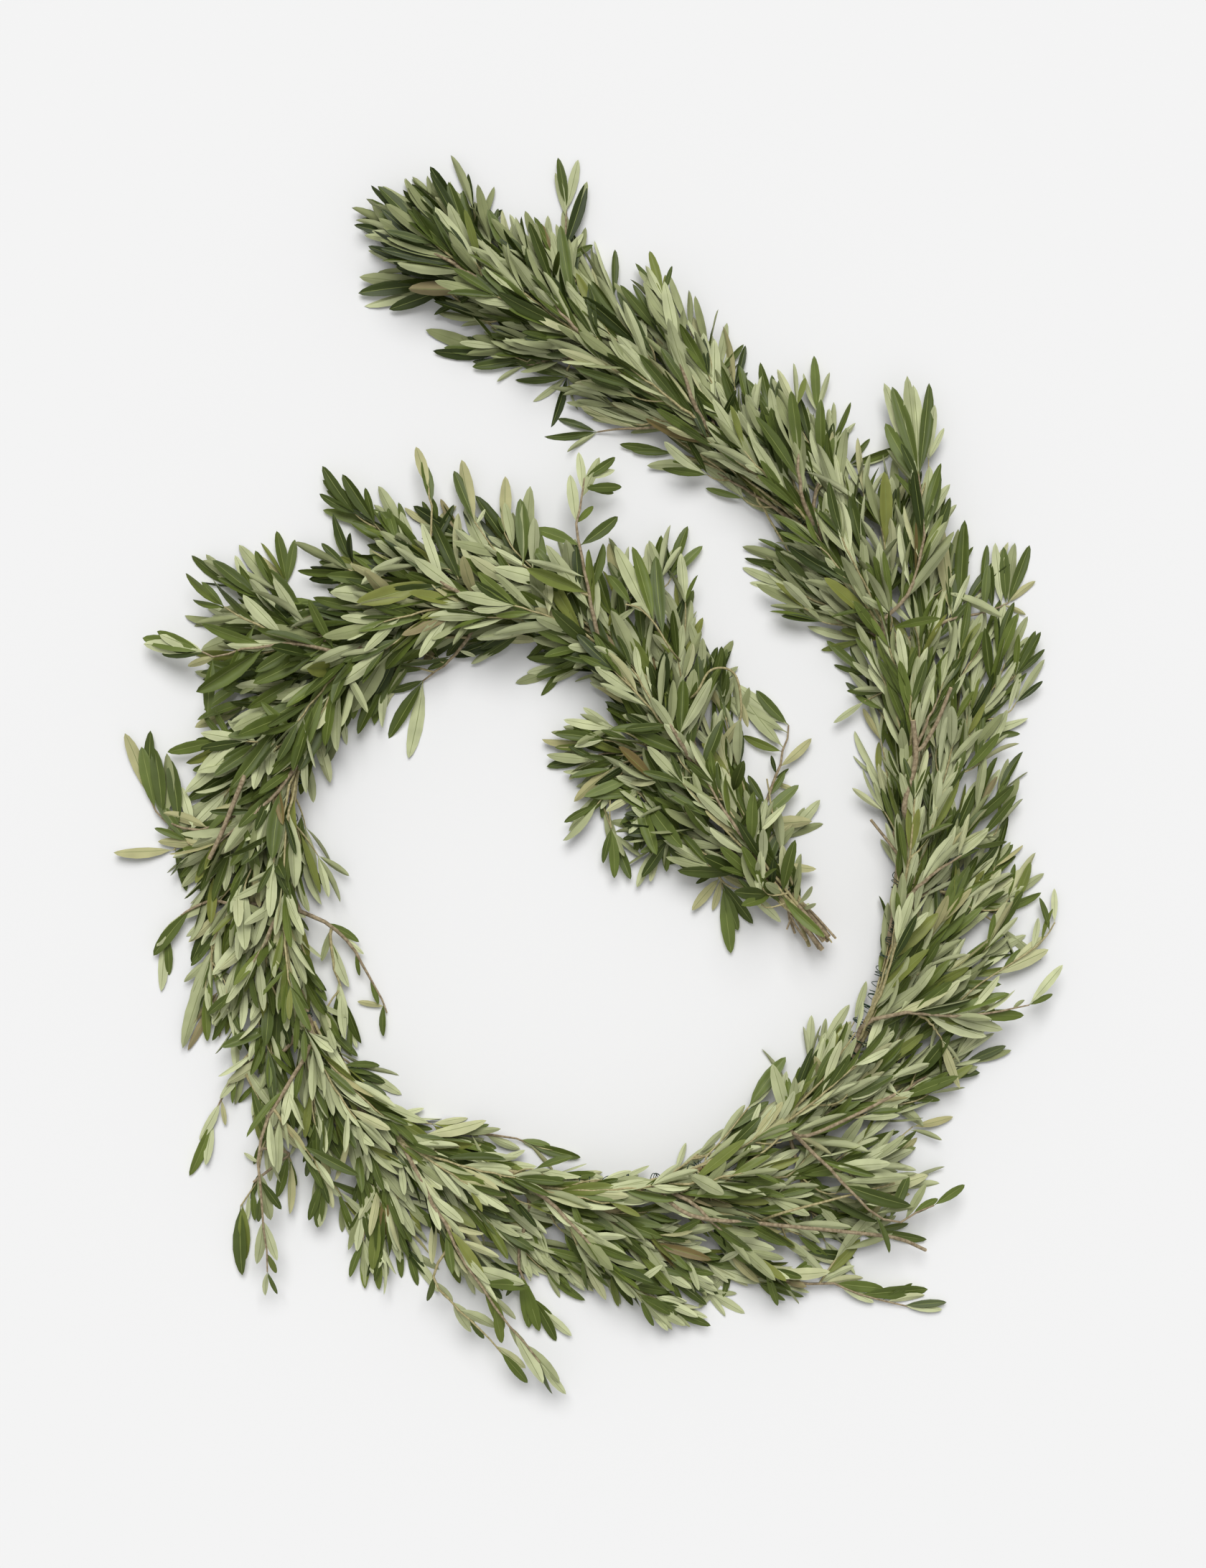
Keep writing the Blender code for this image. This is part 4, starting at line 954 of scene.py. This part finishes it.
def growTailStems(neck, draw):
    stems = []
    for number, (pixel, (height, radius)) in enumerate(tailEnds.items()):
        angle = math.tau * number / len(tailEnds)
        around = neck["outward"] * math.cos(angle) + up * math.sin(angle)
        front = neck["front"] + around * growth["seatRadius"] * tailSpread["front"]
        back = neck["back"] + around * growth["seatRadius"] * tailSpread["back"]
        end = fromView(pixel, height)
        aside = Vector((draw.uniform(-1, 1), draw.uniform(-1, 1), 0)) * tailSpread["bow"]
        line = Line([end, (end + back) / 2 + aside, back, front,
                     front + neck["onward"] * tailSpread["pastBinding"]])
        radii = [radius * share for share in tailSpread["thinning"]]
        stems.append(makeStem(line, radii, young=number % 3 == 1, cut=True, main=True, bare=True))
    return stems


def rootFor(way, branches):
    nearest = None
    onward = (way[1] - way[0]).to_2d()
    for branch in branches:
        for stem in branch["stems"] + branch["fill"]:
            for point in stem["line"].points[2:-1]:
                gap = way[0] - point
                apart = gap.to_2d().length > twigRules["rootGap"]
                behind = apart and gap.to_2d().angle(onward) < twigRules["rootTurn"]
                if behind and (nearest is None or gap.length < nearest[0]):
                    nearest = (gap.length, branch, point)
    return nearest[1:]


def growCutTwigs(branches):
    for twig in cutTwigs:
        heights = taper(*twig["heights"], len(twig["way"]))
        way = [fromView(pixel, height) for pixel, height in zip(twig["way"], heights)]
        branch, root = rootFor(way, branches)
        points = smoothLine([root, *way], 4)
        points.reverse()
        radii = taper(twig["radius"] * twigRules["endShare"], twig["radius"], len(points))
        branch["fill"].append(makeStem(
            Line(points), radii, young=twig["radius"] < twigRules["youngUnder"], cut=True, bare=True,
            spray=twig.get("leaves", [])))


def growTrunk(number, side, neck, band, draw):
    seat = math.radians(growth["seatAngle"][side])
    offset = (neck["outward"] * math.cos(seat) + up * math.sin(seat)) * growth["seatRadius"]
    butt = neck["back"] + offset
    if number == 0:
        butt = butt - neck["ahead"] * growth["tailButt"] * draw.uniform(*growth["tailButts"])
        butt += offset * growth["tailFan"]
    start = neck["front"] + offset
    tips = shootTips[number][side]
    endHeight = growth["endHeight"][side]
    first = shootLine(start, neck["onward"], fromView(tips[0], 0), wayTo(tips[0]), endHeight,
                      growth["lift"][side], band, draw)
    trunk = Line([butt, *first.points])
    radii = [growth["buttRadius"], *taper(growth["buttRadius"], growth["tipRadius"], len(first.points))]
    bare = (start - butt).length
    stems = [makeStem(trunk, radii, young=False, cut=True, main=True,
                      leavesFrom=bare + sprigs["mainLeavesFrom"], rootsFrom=bare + sprigs["mainRootsFrom"])]
    fork = bare + (trunk.length - bare) * growth["forkAt"]
    for tip in tips[1:]:
        shoot = shootLine(trunk.at(fork), trunk.heading(fork), fromView(tip, 0), wayTo(tip), endHeight,
                          growth["forkLift"], band, draw)
        radii = taper(growth["forkRadius"], growth["tipRadius"], len(shoot.points))
        stems.append(makeStem(shoot, radii, main=True))
    for stem, tip in zip(stems, tips):
        if tip in sprays:
            stem["spray"] = sprays[tip]["leaves"]
    return stems


# Slender shoots that run on beside the cord and close the band: how far ahead they end, in millimetres,
# and where across the band, from 1 at the outer edge to -1 at the inner edge
fillShoots = {
    "outer": [(150, 0.85), (190, 0.50), (230, 0.75)],
    "crown": [(170, 0.10), (200, -0.20)],
    "inner": [(140, -0.80), (180, -0.45)],
    "below": [(150, 0.20)],
}
fillRules = {
    "acrossSpread": (-0.12, 0.12),
    "aheadSpread": (-0.012, 0.012),
    "pastCord": (0.07, 0.11),
    "setOff": (0.9, 1.3),  # in lengths of the neck
    "scatter": 0.003,
    "top": {"outer": 0.034, "crown": 0.062, "inner": 0.034, "below": 0.034},
    "edgeHeight": 0.006,
    "edgeFall": (0.7, 1.1),
    "lowest": 0.004,
    "lift": 0.006,
}


def reachAt(place, share, spacing):
    table = layout["outerReach"] if share > 0 else layout["innerReach"]
    position = min(max((place - layout["firstBinding"]) / spacing * 2, 0), len(table) - 1.001)
    index = int(position)
    between = position - index
    return (table[index] * (1 - between) + table[index + 1] * between) / 1000


def growFillShoots(branch, neck, band, draw):
    side = branch["side"]
    trunk = branch["stems"][0]["line"]
    route = band["route"]
    plan = list(fillShoots[side])
    if side == "crown" and "inner" not in shootTips[branch["number"]]:
        plan += fillShoots["inner"]
    for ahead, share in plan:
        share = share + draw.uniform(*fillRules["acrossSpread"])
        place = neck["place"] + ahead / 1000 + draw.uniform(*fillRules["aheadSpread"])
        place = min(place, route.length + draw.uniform(*fillRules["pastCord"]))
        lateral = share * reachAt(place, share, band["spacing"])
        tip = route.at(place) + route.heading(place).cross(up) * lateral
        tip.z = 0
        start = trunk.at((neck["front"] - neck["back"]).length * draw.uniform(*fillRules["setOff"]))
        scatter = Vector((draw.uniform(-1, 1), draw.uniform(-1, 1), draw.uniform(-0.5, 0.5)))
        start += scatter * fillRules["scatter"]
        fall = (fillRules["edgeHeight"] - fillRules["top"][side]) * min(abs(share), 1.0)
        endHeight = fillRules["top"][side] + fall * draw.uniform(*fillRules["edgeFall"])
        shoot = shootLine(start, neck["onward"], tip, None, max(endHeight, fillRules["lowest"]),
                          fillRules["lift"], band, draw)
        radii = taper(growth["forkRadius"], growth["tipRadius"], len(shoot.points))
        branch["fill"].append(makeStem(shoot, radii))


def sprigLine(start, end, flow, endHeight):
    flatStart = Vector((start.x, start.y, 0))
    turn = end - flow * (end - flatStart).length * sprigs["bend"]
    points = []
    for number in range(sprigs["points"]):
        t = number / (sprigs["points"] - 1)
        point = flatStart * (1 - t) ** 2 + turn * 2 * t * (1 - t) + end * t ** 2
        point.z = start.z + (endHeight - start.z) * t ** 0.8
        points.append(point)
    return Line(points)


def tipsAtEdge(band, draw):
    tips = []
    for pixel in edgeTips:
        point = fromView(pixel, 0)
        height = draw.uniform(*sprigs["edgeTipHeights"])
        flow = acrossBand(point, band)["flow"]
        tips.append({"point": point, "height": height, "flow": flow, "atEdge": True})
    return tips


def tipsInBand(band, draw):
    route = band["route"]
    spacing = band["spacing"]
    tips = []
    place = sprigs["firstTip"]
    while place < route.length + sprigs["pastEnd"]:
        beyond = max(place - route.length, 0) / sprigs["pastEnd"]
        narrowing = 1 - layout["headNarrows"] * beyond
        heading = route.heading(min(place, route.length * lineEnd))
        outward = heading.cross(up)
        inner = -reachAt(place, -1, spacing) * narrowing
        outer = reachAt(place, 1, spacing) * narrowing
        across = inner + draw.uniform(*sprigs["firstStep"]) * sprigs["acrossStep"]
        while across < outer:
            point = route.at(place + draw.gauss(0, sprigs["scatter"])) + outward * across
            share = across / (outer if across > 0 else -inner)
            top = sprigs["middleHeight"] + (sprigs["edgeHeight"] - sprigs["middleHeight"]) * abs(share)
            swing = draw.gauss(0, sprigs["scatterTurn"])
            flow = Matrix.Rotation(swing, 3, "Z") @ acrossBand(point, band)["flow"]
            height = top * draw.uniform(*sprigs["heights"])
            point.z = 0
            tips.append({"point": point, "height": height, "flow": flow, "atEdge": False})
            across += sprigs["acrossStep"] * draw.uniform(*sprigs["steps"])
        place += sprigs["alongStep"]
    return tips


def sprigRoots(branches):
    roots = []
    for branch in branches:
        for stem in branch["stems"] + branch["fill"]:
            line = stem["line"]
            if stem["bare"]:
                continue
            for step in range(2, sprigs["rootSteps"]):
                place = line.length * step / sprigs["rootSteps"]
                if place < stem["rootsFrom"]:
                    continue
                heading = line.heading(place)
                roots.append({"branch": branch, "point": line.at(place), "used": 0,
                              "heading": Vector((heading.x, heading.y, 0)).normalized()})
    return roots


def growSprigs(branches, tips):
    roots = sprigRoots(branches)
    tree = KDTree(len(roots))
    for number, root in enumerate(roots):
        tree.insert((root["point"].x, root["point"].y, 0), number)
    tree.balance()
    for tip in tips:
        best = None
        for flatRoot, number, distance in tree.find_range(tip["point"], sprigs["farthestRoot"]):
            if distance < sprigs["nearestRoot"]:
                continue
            root = roots[number]
            away = tip["point"] - flatRoot
            flowCost = sprigs["edgeFlowCost"] if tip["atEdge"] else 1
            turn = root["heading"].angle(away) + tip["flow"].angle(away) * flowCost
            slope = abs(root["point"].z - tip["height"]) / distance
            cost = turn + sprigs["distanceCost"] * abs(distance - sprigs["usualRoot"]) + slope
            cost += sprigs["reuseCost"] * root["used"]
            if best is None or cost < best[0]:
                best = (cost, root, away)
        if best is None or (best[0] > sprigs["worstRoot"] and not tip["atEdge"]):
            continue
        cost, root, away = best
        root["used"] += 1
        aim = sprigs["edgeAim"] if tip["atEdge"] else sprigs["ownAim"]
        flow = (tip["flow"] + away.normalized() * aim).normalized()
        endLeaf = leaves["length"][root["branch"]["number"]] / 1000 * leaves["endShare"]
        back = min(endLeaf * 0.95, away.length - sprigs["shortest"])
        line = sprigLine(root["point"], tip["point"] - flow * back, flow, tip["height"])
        radii = taper(sprigs["baseRadius"], sprigs["tipRadius"], sprigs["points"])
        root["branch"]["sprigs"].append(makeStem(line, radii, leavesFrom=sprigs["leavesFrom"],
                                                 tip=tip["point"] if tip["atEdge"] else None))


bandRules = {
    "widest": 0.24,
    "narrowest": 0.02,
    "behind": -0.06,  # a branch's leaves belong to the cord from here to there, measured from its binding
    "ahead": 0.36,
}


def acrossBand(point, band, neck=None):
    flat = Vector((point.x, point.y, 0))
    near = None
    for knot, number, distance in band["tree"].find_range(flat, bandRules["widest"]):
        onward = band["route"].marks[number] - neck["place"] if neck else 0.0
        own = bandRules["behind"] < onward < bandRules["ahead"]
        if own and (near is None or distance < near[2]):
            near = (knot, number, distance)
    if near is None:
        return {"reach": -1.0, "lateral": 0.0, "flow": up}
    place = band["route"].marks[near[1]]
    heading = band["route"].heading(min(place, band["route"].length * lineEnd))
    away = flat - near[0]
    lateral = away.dot(heading.cross(up))
    reach = reachAt(place, lateral, band["spacing"])
    if place > band["route"].length - 0.001:
        share = max(away.dot(heading), 0) / layout["headReach"]
        reach *= 1 - layout["headNarrows"] * share
        if share > 1:
            reach = -1.0
    across = min(max(lateral / max(reach, bandRules["narrowest"]), -1), 1)
    flow = Matrix.Rotation(-sprigs["fan"] * across, 3, "Z") @ heading * sprigs["ownFlow"]
    for spot, number, distance in band["spots"].find_n(flat, 4):
        flow += band["runs"][number] * math.exp(-(distance / sprigs["lieReach"]) ** 2)
    return {"reach": reach, "lateral": abs(lateral), "flow": flow.normalized()}


def readBand(route, spacing):
    tree = KDTree(len(route.points))
    for number, point in enumerate(route.points):
        tree.insert((point.x, point.y, 0), number)
    tree.balance()
    spots = KDTree(len(lies))
    runs = []
    for number, (pixel, degrees) in enumerate(lies.items()):
        spots.insert(fromView(pixel, 0), number)
        runs.append(Vector((math.cos(math.radians(degrees)), math.sin(math.radians(degrees)), 0)))
    spots.balance()
    return {"route": route, "tree": tree, "spacing": spacing, "spots": spots, "runs": runs}


def leafPlace(root, direction, facing, length, breadth):
    acrossAxis = direction.cross(facing).normalized()
    place = Matrix((acrossAxis, direction, facing)).transposed()
    scale = Matrix.Diagonal((length * breadth, length, length))
    return Matrix.Translation(root) @ (place @ scale).to_4x4()


def growLeaf(branch, root, heading, radial, lean, length, breadth, draw):
    direction = (heading * math.cos(lean) + radial * math.sin(lean)).normalized()
    steepest = (leaves["ceiling"] - root.z) / length
    lowest = (leaves["floor"] - root.z) / length
    direction.z = min(max(direction.z, lowest), steepest)
    direction.normalize()
    natural = heading - direction * heading.dot(direction)
    if natural.length < 0.05:
        natural = up - direction * direction.z
    natural.normalize()
    flatUp = (up - direction * direction.z).normalized()
    side = -1.0 if draw.random() < leaves["underside"][branch["number"]] else 1.0
    if natural.z * side < 0:
        natural = -natural
    facing = natural * (1 - leaves["flatten"]) + flatUp * side * leaves["flatten"]
    free = draw.random() < leaves["rolled"]
    roll = draw.uniform(*leaves["freeRoll"]) if free else draw.gauss(0, leaves["usualRoll"])
    facing = Matrix.Rotation(roll, 3, direction) @ facing
    facing = (facing - direction * facing.dot(direction)).normalized()
    tone = draw.gauss(leaves["tone"][branch["number"]], leaves["toneSpread"])
    tone = min(max(tone, 0.0), leaves["palest"])
    if draw.random() < leaves["dried"]:
        tone = 1.0
    return {"matrix": leafPlace(root, direction, facing, length, breadth), "tone": tone,
            "root": root, "tip": root + direction * length}


def inOpenSpot(leaf):
    for share in (0.3, 0.6, 0.9):
        point = leaf["root"].lerp(leaf["tip"], share)
        for pixel, radius in openSpots.items():
            middle = fromView(pixel, point.z)
            if (point - middle).length < radius * view["pixel"]:
                return True
    return False


def leafSpray(branch, stem, draw):
    line = stem["line"]
    places = [line.at(line.length * step / 60 * lineEnd) for step in range(61)]
    for rootX, rootY, tipX, tipY, side in stem["spray"]:
        root = min(places, key=lambda place: (place - fromView((rootX, rootY), place.z)).length)
        tip = fromView((tipX, tipY), max(root.z * leaves["sprayDrop"], leaves["floor"] * 2))
        direction = (tip - root).normalized()
        roll = Matrix.Rotation(draw.gauss(0, leaves["sprayRoll"]), 3, direction)
        facing = roll @ (up if side == "upper" else -up)
        facing = (facing - direction * facing.dot(direction)).normalized()
        length = (tip - root).length
        breadth = leaves["breadth"][branch["number"]] * leaves["sprayBreadth"]
        breadth *= draw.uniform(*leaves["sprayBreadths"])
        breadth = min(breadth, leaves["broadest"] / (2 * leafForm["halfBreadth"] * length))
        if side == "brown":
            breadth *= leaves["shrunk"]
        tone = leaves["sprayTones"].get(side)
        if tone is None:
            tone = draw.gauss(leaves["tone"][branch["number"]], leaves["sprayToneSpread"])
            tone = min(max(tone, 0), leaves["sprayPalest"])
        shape = draw.choice(leaves["sprayShapes"])
        branch["leaves"].append({"matrix": leafPlace(root, direction, facing, length, breadth), "tone": tone,
                                 "root": root, "tip": tip, "shape": shape})


def leafAlong(branch, stem, neck, band, draw):
    number = branch["number"]
    baseLength = leaves["length"][number] / 1000
    line = stem["line"]
    place = line.length if stem["bare"] else stem["leavesFrom"]
    turn = draw.uniform(0, math.pi)
    ownLateral = 0.0
    if stem["tip"] or (stem["main"] and not stem["spray"]):
        ownLateral = acrossBand(line.points[-1], band, neck)["lateral"] + leaves["pastOwnStem"]
    while place < line.length - leaves["bareEnd"]:
        share = place / line.length
        flow = acrossBand(line.at(place), band, neck)["flow"]
        heading = line.heading(place).lerp(flow, leaves["combed"]).normalized()
        level = heading.cross(up).normalized()
        over = level.cross(heading)
        index = min(int(share * len(stem["radii"])), len(stem["radii"]) - 1)
        for half in (0, math.pi):
            if draw.random() < leaves["missing"][number]:
                continue
            onTop = line.at(place).z > leaves["flatPairsFrom"]
            angle = (0 if onTop else turn) + half + draw.gauss(0, 0.25)
            radial = level * math.cos(angle) + over * math.sin(angle) * leaves["upright"]
            radial.normalize()
            fullness = 0.78 + 0.30 * math.sin(math.pi * min(share * 1.1, 1.0))
            size = baseLength * fullness * draw.uniform(*leaves["sizes"])
            lean = abs(draw.gauss(*leaves["lean"])) * (1.15 - 0.45 * share) * leaves["spread"][number]
            if stem["tip"]:
                lean *= leaves["edgePressed"]
            if draw.random() < leaves["wayward"][number]:
                lean = draw.uniform(*leaves["waywardLean"])
            root = line.at(place) + radial * stem["radii"][index] * 0.6
            breadth = leaves["breadth"][number] * draw.uniform(*leaves["breadths"])
            leaf = growLeaf(branch, root, heading, radial, lean, size, breadth, draw)
            there = acrossBand(leaf["tip"], band, neck)
            limit = max(there["reach"], ownLateral) + draw.uniform(*leaves["stray"])
            if there["reach"] >= 0 and there["lateral"] <= limit and not inOpenSpot(leaf):
                branch["leaves"].append(leaf)
        turn += math.pi / 2 + draw.gauss(0, 0.2)
        place += leaves["spacing"] * draw.uniform(*leaves["steps"])

    if stem["spray"]:
        leafSpray(branch, stem, draw)
    elif not stem["bare"]:
        leafEnd(branch, stem, draw)


def leafEnd(branch, stem, draw):
    # The end leaf and the small pair beside it
    line = stem["line"]
    end = line.points[-1]
    heading = line.heading(line.length * 0.99)
    breadth = leaves["breadth"][branch["number"]]
    size = leaves["length"][branch["number"]] / 1000 * leaves["endShare"]
    if stem["main"]:
        size = growth["endLeaf"]
    if stem["tip"]:
        away = stem["tip"] - end
        heading = Vector((away.x, away.y, 0)).normalized()
        shortest, longest = leaves["endSizes"]
        size = min(max(Vector((away.x, away.y, 0)).length, shortest), longest)
    level = heading.cross(up).normalized()
    fan = [growLeaf(branch, end, heading, level, draw.gauss(0, 0.06), size, breadth, draw)]
    for half in (-1, 1):
        lean = draw.uniform(0.2, 0.5)
        fan.append(growLeaf(branch, end, heading, level * half, lean, size * draw.uniform(0.6, 0.85),
                            breadth, draw))
    branch["leaves"] += [leaf for leaf in fan if not inOpenSpot(leaf)]


def allStems(branch):
    return branch["stems"] + branch["fill"] + branch["sprigs"]


def startCurve(name, materials):
    curve = bpy.data.curves.new(name, "CURVE")
    curve.dimensions = "3D"
    curve.bevel_depth = 1.0  # each point's radius gives the thickness
    curve.bevel_resolution = 1
    curve.use_fill_caps = True
    for material in materials:
        curve.materials.append(material)
    return curve


def addSpline(curve, points, radii, materialIndex=0):
    spline = curve.splines.new("POLY")
    spline.points.add(len(points) - 1)
    spline.material_index = materialIndex
    spline.use_smooth = True
    for knot, point, radius in zip(spline.points, points, radii):
        knot.co = (*point, 1.0)
        knot.radius = radius


def curveToMesh(curve):
    obj = bpy.data.objects.new(curve.name, curve)
    bpy.context.collection.objects.link(obj)
    bpy.ops.object.select_all(action="DESELECT")
    obj.select_set(True)
    bpy.context.view_layer.objects.active = obj
    bpy.ops.object.convert(target="MESH")
    return obj


def handOver(piece, node):
    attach(piece, "root")
    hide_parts(node)


def joinStems(branch, materials):
    curve = startCurve(branch["name"], materials)
    for stem in allStems(branch):
        addSpline(curve, stem["line"].points, stem["radii"], 3 if stem["young"] else 2)
        if stem["cut"]:
            end = stem["line"].points[0]
            heading = stem["line"].heading(0)
            face = [end - heading * growth["cutPast"], end + heading * growth["cutInside"]]
            addSpline(curve, face, [stem["radii"][0] * growth["cutShare"]] * 2, 4)
    return curveToMesh(curve)


def layOnSurface(mesh):
    lowest = leaves["lowest"]
    for vertex in mesh.vertices:
        if vertex.co.z < lowest:
            vertex.co.z = lowest * math.exp((vertex.co.z - lowest) / lowest)


def finishBranch(branch, blanks, materials, draw):
    stems = joinStems(branch, materials)
    often = [shape["often"] for shape in leafShapes.values()]
    for leaf in branch["leaves"]:
        shape = leaf.get("shape") or draw.choices(list(leafShapes), weights=often)[0]
        mesh = blanks[shape].copy()
        mesh.transform(leaf["matrix"])
        layOnSurface(mesh)
        mesh.attributes["tone"].data.foreach_set("value", [leaf["tone"]] * len(mesh.vertices))
        copy = bpy.data.objects.new("leaf", mesh)
        bpy.context.collection.objects.link(copy)
        copy.select_set(True)
    bpy.context.view_layer.objects.active = stems
    bpy.ops.object.join()
    handOver(stems, branch["node"])


def growGarland(route, necks, materials):
    draw = random.Random(7)
    band = readBand(route, necks[1]["place"] - necks[0]["place"])
    slots = {entry["node"]: entry["material_slot"] for entry in frame["record"]["subparts"]}
    branches = []
    for number, bundle in enumerate(shootTips):
        for side in bundle:
            node = f"branch_{number + 1:02d}_{side}"
            stems = growTrunk(number, side, necks[number], band, draw)
            branches.append({"number": number, "side": side, "node": node, "name": node + "_leafy",
                             "slot": slots[node], "stems": stems, "fill": [], "sprigs": [], "leaves": []})
    for branch in branches:
        growFillShoots(branch, necks[branch["number"]], band, draw)
    branches[0]["fill"] += growTailStems(necks[0], draw)
    growCutTwigs(branches)
    growSprigs(branches, tipsAtEdge(band, draw) + tipsInBand(band, draw))
    print("stems grown:", sum(len(allStems(branch)) for branch in branches))
    for branch in branches:
        for stem in allStems(branch):
            leafAlong(branch, stem, necks[branch["number"]], band, draw)
    print("leaves:", sum(len(branch["leaves"]) for branch in branches))
    blanks = {name: modelLeaf(name, shape, materials[:2]) for name, shape in leafShapes.items()}
    for branch in branches:
        finishBranch(branch, blanks, materials, draw)
    for mesh in blanks.values():
        bpy.data.meshes.remove(mesh)


def cordCore(route, necks):
    points = []
    for neck in necks:
        points += [neck["back"], neck["front"], neck["between"]]
    points[-1] = route.points[-1]
    core = Line(points)
    core.neckMarks = [(core.marks[3 * n] + core.marks[3 * n + 1]) / 2 for n in range(len(necks))]
    return core


# Three-strand jute, dry and hairy, with fibres of 0.7 mm and a lay of 14 mm
cordLook = {
    "dark": "#7b6340", "light": "#b89b6c", "roughness": 0.95,
    "spotScale": 1500.0, "spotDetail": 4.0, "spotEdge": (0.0, 1.0), "relief": 0.7,
    "strands": 3,
    "strandRadius": 0.00105,
    "offset": 0.00095,  # of each strand from the cord's middle
    "lay": 0.014,
    "pointsPerTurn": 7,
}


def makeCord(route, necks):
    core = cordCore(route, necks)
    curve = startCurve("jute_cord", [makeSpottedMaterial("jute_fibre", cordLook)])
    count = round(core.length / cordLook["lay"] * cordLook["pointsPerTurn"])
    for strand in range(cordLook["strands"]):
        strandPoints = []
        for number in range(count + 1):
            place = core.length * number / count * lineEnd
            heading = core.heading(place)
            outward = heading.cross(up)
            angle = math.tau * (place / cordLook["lay"] + strand / cordLook["strands"])
            offset = (outward * math.cos(angle) + up * math.sin(angle)) * cordLook["offset"]
            strandPoints.append(core.at(place) + offset)
        addSpline(curve, strandPoints, [cordLook["strandRadius"]] * len(strandPoints))
    handOver(curveToMesh(curve), "base_cord")


# Iron wire dipped in dark green enamel, which shines along its turns and is paler in worn spots of 2.5 mm
wireLook = {
    "dark": "#12301f", "light": "#28492f", "roughness": 0.35,
    "spotScale": 400.0, "spotDetail": 2.0, "spotEdge": (0.55, 0.75),
    "radius": 0.00045,
    "turnPoints": 10,
    "reach": 0.0086,  # from the cord's middle to the wire
    "reachBelow": 0.0036,
    "wobble": 0.0009,
    "wander": 0.35,
    "wanderWaves": (61, 23),  # radians for each metre of cord
    "start": 0.012,
    "neckPitch": 0.0022,
    "neckHalf": 0.007,
    "openPitch": 0.014,
    "closeTurns": {11: 0.0065, 12: 0.0055},  # pitch up to the next neck where the wire shows
    "stepBack": 1.9,  # how strongly the turns run back over each other
    "stepWave": 0.31,
    "stepSpread": (-0.5, 0.5),
    "turnSteps": (0.7, 1.3),
}


def makeWire(route, necks):
    draw = random.Random(3)
    core = cordCore(route, necks)
    points = []
    place = wireLook["start"]
    angle = 0.0
    while place < core.length - wireLook["start"]:
        nearest = min(abs(place - mark) for mark in core.neckMarks)
        passed = sum(mark < place for mark in core.neckMarks) - 1
        pitch = wireLook["closeTurns"].get(passed, wireLook["openPitch"])
        if nearest < wireLook["neckHalf"]:
            pitch = wireLook["neckPitch"]
        heading = core.heading(place)
        outward = heading.cross(up).normalized()
        short, long = wireLook["wanderWaves"]
        wander = 1 + wireLook["wander"] * math.sin(place * short) * math.sin(place * long + 1)
        reach = wireLook["reach"] * wander + draw.uniform(0, wireLook["wobble"])
        lift = reach if math.sin(angle) > -0.2 else wireLook["reachBelow"]
        points.append(core.at(place) + outward * reach * math.cos(angle) + up * lift * math.sin(angle))
        angle += math.tau / wireLook["turnPoints"] * draw.uniform(*wireLook["turnSteps"])
        swing = wireLook["stepBack"] * math.sin(angle * wireLook["stepWave"])
        swing += draw.uniform(*wireLook["stepSpread"])
        place += pitch / wireLook["turnPoints"] * (1 + swing)
    line = smoothLine(points, 2)
    curve = startCurve("binding_turns", [makeSpottedMaterial("enamelled_wire", wireLook)])
    addSpline(curve, line, [wireLook["radius"]] * len(line))
    handOver(curveToMesh(curve), "binding_wire")


# The pale surface, the light and the camera

stageLook = {
    "floor": "#eeeeee",
    "floorSize": 9.0,
    "skyStrength": 0.45,
    "lamp": {"spread": 38, "tilt": 34, "strength": 2.3},
}


def makeStage():
    bpy.ops.mesh.primitive_plane_add(size=stageLook["floorSize"], location=(0, 0, 0))
    floor = bpy.context.object
    floor.name = "pale_floor"
    material, surface = startMaterial("pale_floor")
    setInputs(material, surface, {"Base Color": hexColour(stageLook["floor"]), "Roughness": 0.9})
    floor.data.materials.append(material)

    world = bpy.data.worlds.new("soft_sky")
    world.use_nodes = True
    world.node_tree.nodes["Background"].inputs[0].default_value = (1, 1, 1, 1)
    world.node_tree.nodes["Background"].inputs[1].default_value = stageLook["skyStrength"]
    bpy.context.scene.world = world

    # A broad soft lamp high over the far side
    lamp = stageLook["lamp"]
    bpy.ops.object.light_add(type="SUN", location=(0, 2, 3), rotation=(math.radians(-lamp["tilt"]), 0, 0))
    bpy.context.object.data.angle = math.radians(lamp["spread"])
    bpy.context.object.data.energy = lamp["strength"]
    bpy.context.scene.view_settings.view_transform = "Standard"


def makeCamera():
    middle = fromView((view["size"][0] / 2, view["size"][1] / 2), view["cameraHeight"])
    bpy.ops.object.camera_add(location=middle, rotation=(0, 0, 0))
    camera = bpy.context.object
    longSide = view["size"][1] * view["pixel"]
    camera.data.sensor_width = 36.0
    camera.data.lens = 36.0 * (view["cameraHeight"] - view["trueScaleHeight"]) / longSide
    bpy.context.scene.camera = camera


makeCamera()
route = Line(smoothLine([fromView(pixel, layout["cordHeight"]) for pixel in layout["cordRoute"]], 8))
necks = readNecks(route)
makeCord(route, necks)
makeWire(route, necks)
print("cord and wire made")
foliage = [
    makeLeafMaterial("olive_leaf_upper_side", leafUpperLook),
    makeLeafMaterial("olive_leaf_underside", leafUnderLook),
    *[makeSpottedMaterial(name, look) for name, look in woodLooks.items()],
]
growGarland(route, necks, foliage)
print("foliage made")
makeStage()
